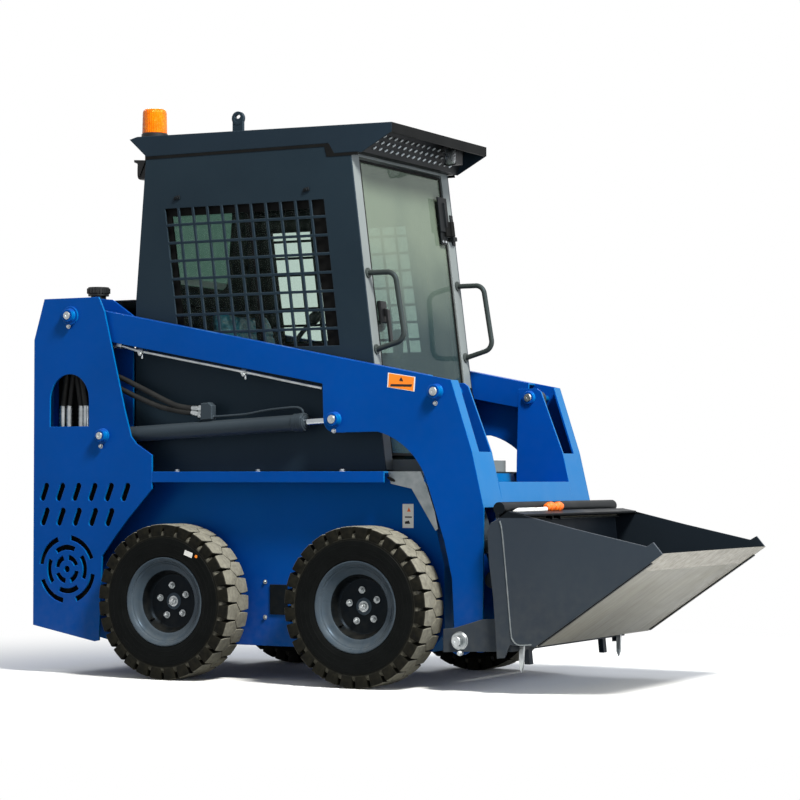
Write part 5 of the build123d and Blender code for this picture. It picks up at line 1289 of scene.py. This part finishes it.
# %% Roof joint, beacon and window strip
# the joint's line, painted as a black strip for the shadow in the gap under the skirt: along the roof's side,
# down the step and over the post, and back
JOINT = [(-599, 1996), (214, 1996), (238, 1957), (338, 1957), (340, 1946), (206, 1946), (196, 1985),
         (-600, 1985)]
for hand, sign in SIDES:
    shapes = [side_plate(part, 394.1, sign, 1.6, 0.3) for part in (JOINT[:2] + JOINT[6:], JOINT[1:7])]
    piece(f"roof_joint_{hand}", shapes, "seal_rubber", "root", "black_plastic")
base = turned([(0, 50), (1, 51.5), (15, 51.5), (18, 49), (18.5, 46)], BEACON, UP, 48)
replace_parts(piece("beacon_foot", [base], "moulded_black_plastic", "root", "black_plastic"), "beacon_base")
dome = turned([(18.6, 30), (18.8, 48.5), (22, 48.5), (60, 47.6), (98, 46.6), (107, 44.5), (112, 40),
               (114, 32), (114.3, 6)], BEACON, UP, 72)
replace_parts(piece("beacon_cover", [dome], "amber_acrylic", "root", "amber", 40), "beacon_dome")
strip = [rear_wall(y, z, 1.2) for y, z in rectangle(-232, 232, 1524, 1550)]
piece("window_strip", [plate(strip, (0, 0, 0), (1, 0, 0), 1.5, 0.2)], "white_label_vinyl", "root",
      "galvanised")
print("roof joint and beacon set")

# %% [markdown]
# ## Behind the tower's openings
#
# The arch and the slots in the tower open on a dark space: black sheets in it are painted shade, and
# hoses rise through the arch from their crimped fittings. A crimped sleeve is a turned profile with
# shallow rings pressed in by the die.

# %% Shade sheets in the tower, arch hoses and side bolts
TUB_FACE = 385.1        # just off the tub's side
HOSE_FEET = ((-962, 424, 14), (-928, 430, 12), (-876, 420, 14), (-846, 434, 12), (-820, 424, 13))
SLOT_SHADE = [(-1036, 745), (-590, 745), (-590, 668), (-690, 560), (-752, 470), (-752, 262), (-1036, 262)]
for hand, sign in SIDES:
    out = (0.0, float(sign), 0.0)
    # black sheets behind the arch and the slots: painted shade of the dark space in the tower
    arch_shade_sheet = side_plate(rectangle(-1000, -770, 930, 1180), 400.6, sign, 3, 0.5)
    slot_shade_sheet = side_plate(SLOT_SHADE, 462.0, sign, 3, 0.5)
    piece(f"tower_shade_sheets_{hand}", [arch_shade_sheet, slot_shade_sheet], "black_foam_and_painted_shade", "root", "black_plastic")
    hoses, sleeves = [], []
    for x, y, r in HOSE_FEET:
        bend = 10.0 if x < -900 else -14.0
        path = curve_through([(x, sign * y, 942), (x, sign * y, 1010), (x + bend, sign * y, 1100),
                              (x + 2 * bend, sign * y, 1178)], 30)
        hoses.append(tube(path, r - 2.0, 14))
        rings = [(h, r + (1.2 if k % 2 else -0.6)) for k, h in enumerate(np.linspace(20, 84, 9))]
        sleeves += [turned([(6, r - 1.0), (18, r)] + rings + [(90, r), (92, r - 1.8)], (x, sign * y, 946),
                           UP, 18),
                    hexagon((x, sign * y, 938), UP, 2 * r, 16.0, 3 * x)]
    piece(f"arch_hoses_{hand}", hoses, "hose_rubber", "root", "black_plastic")
    piece(f"arch_sleeves_{hand}", sleeves, "zinc_plate", "root", "zinc_steel")
    # the service cover on the tub, with its four bolts
    cover = side_plate(rectangle(-40, 36, 247, 359), TUB_FACE, sign, 5, 1)
    bolts = []
    for x in (-62, 58):
        for z in (236, 368):
            bolts += [turned([(0, 8.5), (1.4, 8.5)], (x, sign * TUB_FACE, z), out, 18),
                      hexagon((x, sign * (TUB_FACE + 1.3), z), out, 11.0, 6.0, x + z)]
    piece(f"service_cover_{hand}", [cover], "recess_paint", "root", "black_paint")
    piece(f"side_bolts_{hand}", bolts, "zinc_plate", "root", "zinc_steel")
print("tower lined")

# %% [markdown]
# ## Labels
#
# Where the real machine has printed labels, plain ones with simple shapes and no words stand here: a
# white one low on the tub by the front wheel, an orange one on the arm, and a small inspection
# sticker on the rear tyre's wall. A label is a very thin plate on the face that it is stuck to.

# %% Labels
ARM_FACE = 471.1        # just off the arm's side
# the label on the arm: its corners, the orange within them, and a band and a triangle as its marks
CORNERS = np.array([(506, 1137), (618, 1119), (614, 1066), (503, 1084)], float)
LABEL_HEART = CORNERS.mean(axis=0)
ORANGE = CORNERS + (LABEL_HEART - CORNERS) * 0.08
BAND = LABEL_HEART + (CORNERS - LABEL_HEART) * (0.78, 0.16) + (0, -12)
TRIANGLE = LABEL_HEART + np.array([(-9, 5), (9, 2), (0, 19)])
for hand, sign in SIDES:
    white = side_plate(rectangle(520, 565, 575, 662), TUB_FACE, sign, 0.6, 0.1)
    piece(f"white_label_{hand}", [white], "white_label_vinyl", "root", "galvanised")
    triangle, block, line = (side_plate(mark, TUB_FACE + 0.7, sign, 0.3, 0.05) for mark in (
        [(538, 634), (554, 634), (546, 650)], [(530, 590), (552, 590), (546, 602), (530, 598)],
        rectangle(530, 558, 612, 617)))
    piece(f"label_triangle_{hand}", [triangle], "orange_nylon", "root", "amber")
    piece(f"label_shapes_{hand}", [block, line], "moulded_black_plastic", "root", "black_plastic")
    piece(f"arm_label_border_{hand}", [side_plate(CORNERS, ARM_FACE, sign, 0.5, 0.1)], "white_label_vinyl",
          "loader_arm", "galvanised")
    piece(f"arm_label_{hand}", [side_plate(ORANGE, ARM_FACE + 0.6, sign, 0.4, 0.1)], "orange_label_vinyl",
          "loader_arm", "amber")
    piece(f"arm_label_marks_{hand}", [side_plate(mark, ARM_FACE + 1.1, sign, 0.3, 0.05)
                                      for mark in (BAND, TRIANGLE)],
          "moulded_black_plastic", "loader_arm", "black_plastic")
print("orange label", [round(float(v)) for v in np.ptp(CORNERS, axis=0)], "mm over its corners")

# %% Sticker on the rear tyre
WALL_FACE = -(TYRE_MIDDLE + 73.1)       # y just off the wall of a right-hand tyre
STICKER_R, STICKER_TURN = 214, 1.0      # distance from the axle, and angle above straight ahead
sticker_at = np.array([axles["rear"] + STICKER_R * math.cos(STICKER_TURN), 0,
                       AXLE_Z / MM + STICKER_R * math.sin(STICKER_TURN)])
sticker = [sticker_at + (x, 0, z) for x, z in ((-21, -2), (14, -14), (20, 4), (-15, 16))]
piece("tyre_sticker", [plate(sticker, (0, WALL_FACE, 0), (0, -1, 0), 0.6, 0.1)], "white_label_vinyl",
      "wheel_rear_right", "galvanised")
dot = turned([(0, 6), (0.5, 6)], sticker_at + (34, WALL_FACE, -8), (0, -1, 0), 20)
piece("tyre_dot", [dot], "orange_label_vinyl", "wheel_rear_right", "amber")
print("sticker at", sticker_at.round(1))

# %% [markdown]
# ## Bucket, coupler and couplings
#
# A bucket is welded from four plates, so a bead of weld runs down each side along the back plate,
# round the heel, and worn strips carry it on the ground. Two quick couplings in orange nylon caps
# and a pale pipe sit on the coupler's cross tube, for a tool that has its own motor.

# %% Bucket weld, strips, tags and lip
SEAM = [(974, 606), (984, 560), (1002, 380), (1016, 224), (1024, 192), (1046, 176), (1096, 178)]
STRIP = [(1118, 176.4), (1540, 468.1), (1542.4, 464.7), (1120.4, 173.0)]
TAG = [(1012, 166), (1030, 166), (1028, 96), (1020, 74), (1012, 92)]
bead = 2.6 + 0.5 * np.sin(np.arange(60) * 2.2)      # the bead's radius swells and shrinks along it
for hand, sign in SIDES:
    seam = curve_through(beside(SEAM, sign * 514.5), len(bead))
    piece(f"side_weld_{hand}", [tube(seam, bead, 8)], "bent_galvanised_sheet", "bucket_assembly",
          "wear_steel")
    piece(f"wear_strip_{hand}", [side_plate(STRIP, 514.0, sign, 16, 1, grow=-1)], "black_powder_coat",
          "bucket_assembly", "wear_steel")
    piece(f"latch_tag_{hand}", [side_plate(TAG, 428.0, sign, 12, 2)], "zinc_plate", "bucket_assembly",
          "zinc_steel")
lip = [(966, -506, 612.6), (966, 506, 612.6), (992, 506, 606.6), (992, -506, 606.6)]
piece("bucket_lip", [plate(lip, (0, 0, 0), (0.22, 0, 0.975), 3, 0.5)], "bent_galvanised_sheet",
      "bucket_assembly", "wear_steel")
print("bucket welded")

# %% Pipe and couplings
pipe_path = curve_through([(996, -446, 632), (1002, -430, 640), (1004, -400, 642), (1004, -260, 642),
                           (1004, -196, 644)], 40)
piece("auxiliary_pipe", [tube(pipe_path, 9.0, 14)], "white_label_vinyl", "bucket_assembly", "galvanised")
couplings, stands = [], []
for y in (-192.0, -122.0):
    couplings.append(turned([(0, 10), (3, 14), (20, 14), (23, 18), (42, 18), (45, 14), (58, 13), (60, 9)],
                            (1004, y, 650), (0, 1, 0.06), 28))
    stands.append(side_plate([(990, 612), (1016, 606), (1014, 640), (994, 640)], y + 26, 1, 8, 1))
piece("couplings", couplings, "orange_nylon", "bucket_assembly", "amber")
piece("coupling_stands", stands, "black_powder_coat", "bucket_assembly", "black_paint")
print("couplings", len(couplings))

# %% [markdown]
# ## The seat
#
# The seat is two padded cushions under a clear delivery wrap. Each starts as a slightly small block
# with round corners. Foam pushes its cover out, so the block is blown up as cloth with a little air
# inside and no weight, for twenty steps, and then the sewn channels are pressed in.


# %% A block with round corners
def block(low, high, lean=0.0, corner=34.0, rows=12):
    """A box with rounded corners, built of square rings; `lean` slides its top back, and its foot and
    head are drawn in by the square of how far they are from its middle."""
    low, high = np.array(low, float), np.array(high, float)
    a = np.linspace(0, np.pi / 2, 6)
    half = (high - low)[:2] / 2 - corner
    ring = np.vstack([np.stack([sx * half[0] + corner * np.cos(a + k * np.pi / 2),
                                sy * half[1] + corner * np.sin(a + k * np.pi / 2)], -1)
                      for k, (sx, sy) in enumerate(((1, 1), (-1, 1), (-1, -1), (1, -1)))])
    centre, t = (low + high)[:2] / 2, np.linspace(0, 1, rows)
    draw = 1 - 0.10 * np.clip(np.abs(2 * t - 1) - 0.55, 0, 1) ** 2 / 0.2
    grid = np.zeros((rows, len(ring), 3))
    grid[:, :, :2] = centre + ring[None] * draw[:, None, None]
    grid[:, :, 0] -= (lean * t)[:, None]
    grid[:, :, 2] = (low[2] + (high[2] - low[2]) * t)[:, None]
    return net(grid)


print("a cushion starts from", len(block((-10, -10, 0), (10, 10, 5), corner=2)[0]), "points")

# %% Blowing a pad up
VOXEL = 0.006           # in metres
STEPS = 20


def sewn_pad(name, shape, cap, pressing):
    """A cushion blown up from a block: remeshed, simulated as cloth, each point held to `cap`
    millimetres of travel, then pressed in along its seams by `pressing`, and smoothed once."""
    made = piece(name, [shape], "wrapped_teal_vinyl", None, "seat_vinyl")
    for kind in (("REMESH", "CLOTH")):
        tool = made.modifiers.new(kind.lower(), kind)
        before = None
        if kind == "REMESH":
            tool.mode, tool.voxel_size = "VOXEL", VOXEL
        else:
            cloth = tool.settings
            cloth.use_pressure, cloth.uniform_pressure_force = True, 4.0
            cloth.quality, cloth.mass = 5, 0.3
            cloth.tension_stiffness = cloth.compression_stiffness = 12.0
            cloth.effector_weights.gravity = 0.0
            tool.point_cache.frame_start, tool.point_cache.frame_end = 1, STEPS
            before = np.zeros(len(made.data.vertices) * 3)
            made.data.vertices.foreach_get("co", before)
            for step in range(1, STEPS + 1):
                bpy.context.scene.frame_set(step)
        graph = bpy.context.evaluated_depsgraph_get()
        mesh = bpy.data.meshes.new_from_object(made.evaluated_get(graph))
        made.modifiers.remove(tool)
        made.data = mesh
        if before is not None:
            after = np.zeros_like(before)
            mesh.vertices.foreach_get("co", after)
            travel = (after - before).reshape(-1, 3)
            length = np.maximum(np.linalg.norm(travel, axis=1, keepdims=True), 1e-9)
            travel *= np.minimum(1, cap * MM / length)
            mesh.vertices.foreach_set("co", (before.reshape(-1, 3) + travel).ravel())
            bpy.context.scene.frame_set(1)
    points = np.zeros(len(made.data.vertices) * 3)
    made.data.vertices.foreach_get("co", points)
    points = (points.reshape(-1, 3) - (MID, 0, 0)) / MM
    made.data.vertices.foreach_set("co", (pressing(points) * MM + (MID, 0, 0)).ravel())
    made.data.shade_smooth()
    made.data.materials.clear()
    made.data.materials.append(finishes["wrapped_teal_vinyl"])
    finer = made.modifiers.new("smoother", "SUBSURF")
    finer.levels = finer.render_levels = 1
    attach(made, "root")
    return made


print("pads swell in", STEPS, "steps")

# %% Seat cushions
# where the sewn channels run: x of those across the cushion, height of those across the backrest,
# and |y| of those along the bolsters
CUSHION_SEAMS, CUSHION_BOLSTER = (-60, -190), 140
BACK_SEAMS, BACK_BOLSTER = (1235, 1320), 130


def channel(distance, width=5.0, depth=7.0):
    """How far a sewn line presses in: its depth times e to the minus square of distance over width."""
    return depth * np.exp(-(distance / width) ** 2)


def press_cushion(p):
    """Two channels across the cushion and one along each bolster; the base stays flat."""
    top = np.clip((p[:, 2] - 1105) / 20, 0, 1)
    deep = sum(channel(p[:, 0] - x) for x in CUSHION_SEAMS) + channel(np.abs(p[:, 1]) - CUSHION_BOLSTER)
    p[:, 2] -= top * deep
    p[:, 2] = np.maximum(p[:, 2], 1061.0)
    return p


def press_backrest(p):
    """Two channels across the backrest and one along each bolster, on its front."""
    middle_x = -348 - (p[:, 2] - 1150) * 0.26
    front = np.clip((p[:, 0] - middle_x) / 18, 0, 1)
    deep = sum(channel(p[:, 2] - z) for z in BACK_SEAMS) + channel(np.abs(p[:, 1]) - BACK_BOLSTER)
    p[:, 0] -= front * deep
    return p


cushion = sewn_pad("seat_cushion", block((-374, -204, 1070), (34, 204, 1128), corner=44), 24.0,
                   press_cushion)
backrest = sewn_pad("seat_backrest", block((-384, -192, 1156), (-318, 192, 1402), 66.0, 26.0), 22.0,
                    press_backrest)
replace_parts(cushion, "seat")
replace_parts(backrest, "seat")
print("seat padded", len(cushion.data.polygons), len(backrest.data.polygons))

# %% [markdown]
# ## Levers
#
# Each control lever comes up through a rubber boot, which is a bellows: a turned profile whose
# radius goes in and out as it narrows towards the stem.

# %% Lever boots, grips and arm rests
FOLDS = [(0, 44)] + [(4 + 9 * k, (42 if k % 2 == 0 else 33) - 3.2 * k) for k in range(8)] + [(72, 12)]
STALK = [(-40, 1226), (18, 1300), (64, 1344)]
ARM_REST = [(-330, 1196), (-60, 1204), (-30, 1216), (-60, 1240), (-330, 1236)]
for hand, sign in SIDES:
    foot, grip_foot = (210, sign * 160.0, 804.5), (210, sign * 160.0, 1219)
    boot = turned(FOLDS, foot, UP, 32)
    flange = turned([(-3, 50), (0, 52), (3, 50)], foot, UP, 32)
    grip = turned([(0, 17.5), (8, 20), (40, 18.6), (70, 21), (96, 22.5), (110, 21), (116, 14)], grip_foot,
                  UP, 28)
    piece(f"lever_boot_{hand}", [boot, flange], "seal_rubber", "root", "black_plastic")
    piece(f"lever_grip_{hand}", [grip], "moulded_black_plastic", "root", "black_plastic")
    # each arm rest ends in a short stalk with a knob, which works the parking brake or the light
    stalk = curve_through(beside(STALK, sign * 261.0), 12)
    knob = turned([(0, 12), (8, 20), (26, 23), (44, 19), (52, 8)], (60, sign * 261.0, 1341),
                  (0.67, 0, 0.74), 28)
    piece(f"arm_rest_stalk_{hand}", [tube(stalk, 9.0), knob], "moulded_black_plastic", "root",
          "black_plastic")
    piece(f"arm_rest_{hand}", [side_plate(ARM_REST, 238.0, sign, 46, 9)], "moulded_black_plastic", "root",
          "black_plastic")
print("levers booted")

# %% [markdown]
# ## The rear door and the tail
#
# The engine door is a flat sheet stiffened by pressed louvres that let hot air out. A louvre is a
# shallow wedge. A slam latch sits at its free edge, and low on each side the door carries a round
# reflector, as road rules ask of any machine that may be towed.

# %% Louvres
TAIL_X = -1055.1        # just off the engine door
louvres = []
for row in range(7):
    for foot in (930.0, 410.0):     # a bank of louvres over the latch, and one under it
        z = foot + 34.0 * row
        wedge = [(TAIL_X + 0.05, z), (-1063, z + 3), (-1062, z + 6), (TAIL_X + 0.05, z + 24)]
        louvres.append(side_plate(wedge, -210, 1, 420, 3))
piece("door_louvres", louvres, "blue_powder_coat", "engine_door_assembly", "blue_paint")
print("louvres", len(louvres))


# %% Door latch, plate and reflectors
def tail_plate(low_y, high_y, low_z, high_z, off, thickness, edge):
    """A rectangular plate that stands `off` the engine door and grows backwards."""
    corners = [(0, y, z) for y, z in rectangle(low_y, high_y, low_z, high_z)]
    return plate(corners, (TAIL_X - off, 0, 0), BACK, thickness, edge)


latch_plate = tail_plate(-352, -296, 760, 880, 0, 5, 1.5)
paddle = tail_plate(-344, -304, 776, 846, 5, 9, 4)
lock = turned([(0, 9), (3, 9), (4, 7.5)], (TAIL_X - 5, -324, 862), BACK, 24)
piece("door_paddle_latch", [latch_plate, paddle], "moulded_black_plastic", "engine_door_assembly",
      "black_plastic")
piece("door_lock", [lock], "zinc_plate", "engine_door_assembly", "zinc_steel")
piece("blank_rating_plate", [tail_plate(150, 250, 1210, 1262, 0, 0.8, 0.2)], "bent_galvanised_sheet",
      "engine_door_assembly", "galvanised")
feet = [(TAIL_X, sign * 262.0, 372) for _, sign in SIDES]
lenses = [turned([(2, 27), (6, 26), (8, 22), (8.6, 6)], foot, BACK, 36) for foot in feet]
rims = [turned([(0, 32), (5, 32), (7, 30), (7, 27.2), (2, 27.2)], foot, BACK, 36) for foot in feet]
piece("tail_reflectors", lenses, "red_reflector_acrylic", "engine_door_assembly", "amber")
piece("reflector_rims", rims, "moulded_black_plastic", "engine_door_assembly", "black_plastic")
print("tail dressed, with", len(lenses), "reflectors")

# %% Fuel cap with grip ridges round it
FUEL_CAP, CAP_R, RIDGES = (-863, -330, 1477.5), 43.5, 22
cap = [turned([(0, 41.2), (2, 43), (22, 43), (26, 40), (27, 12)], FUEL_CAP, UP, 44)]
for k in range(RIDGES):
    a = 2 * math.pi * k / RIDGES
    foot = np.array(FUEL_CAP) + (CAP_R * math.cos(a), CAP_R * math.sin(a), 2.5)
    cap.append(turned([(0, 2.6), (18, 2.6), (20, 1.6)], foot, UP, 8))
piece("fuel_cap_ridges", cap, "moulded_black_plastic", "root", "black_plastic")
print("ridges on the fuel cap", RIDGES)

# %% [markdown]
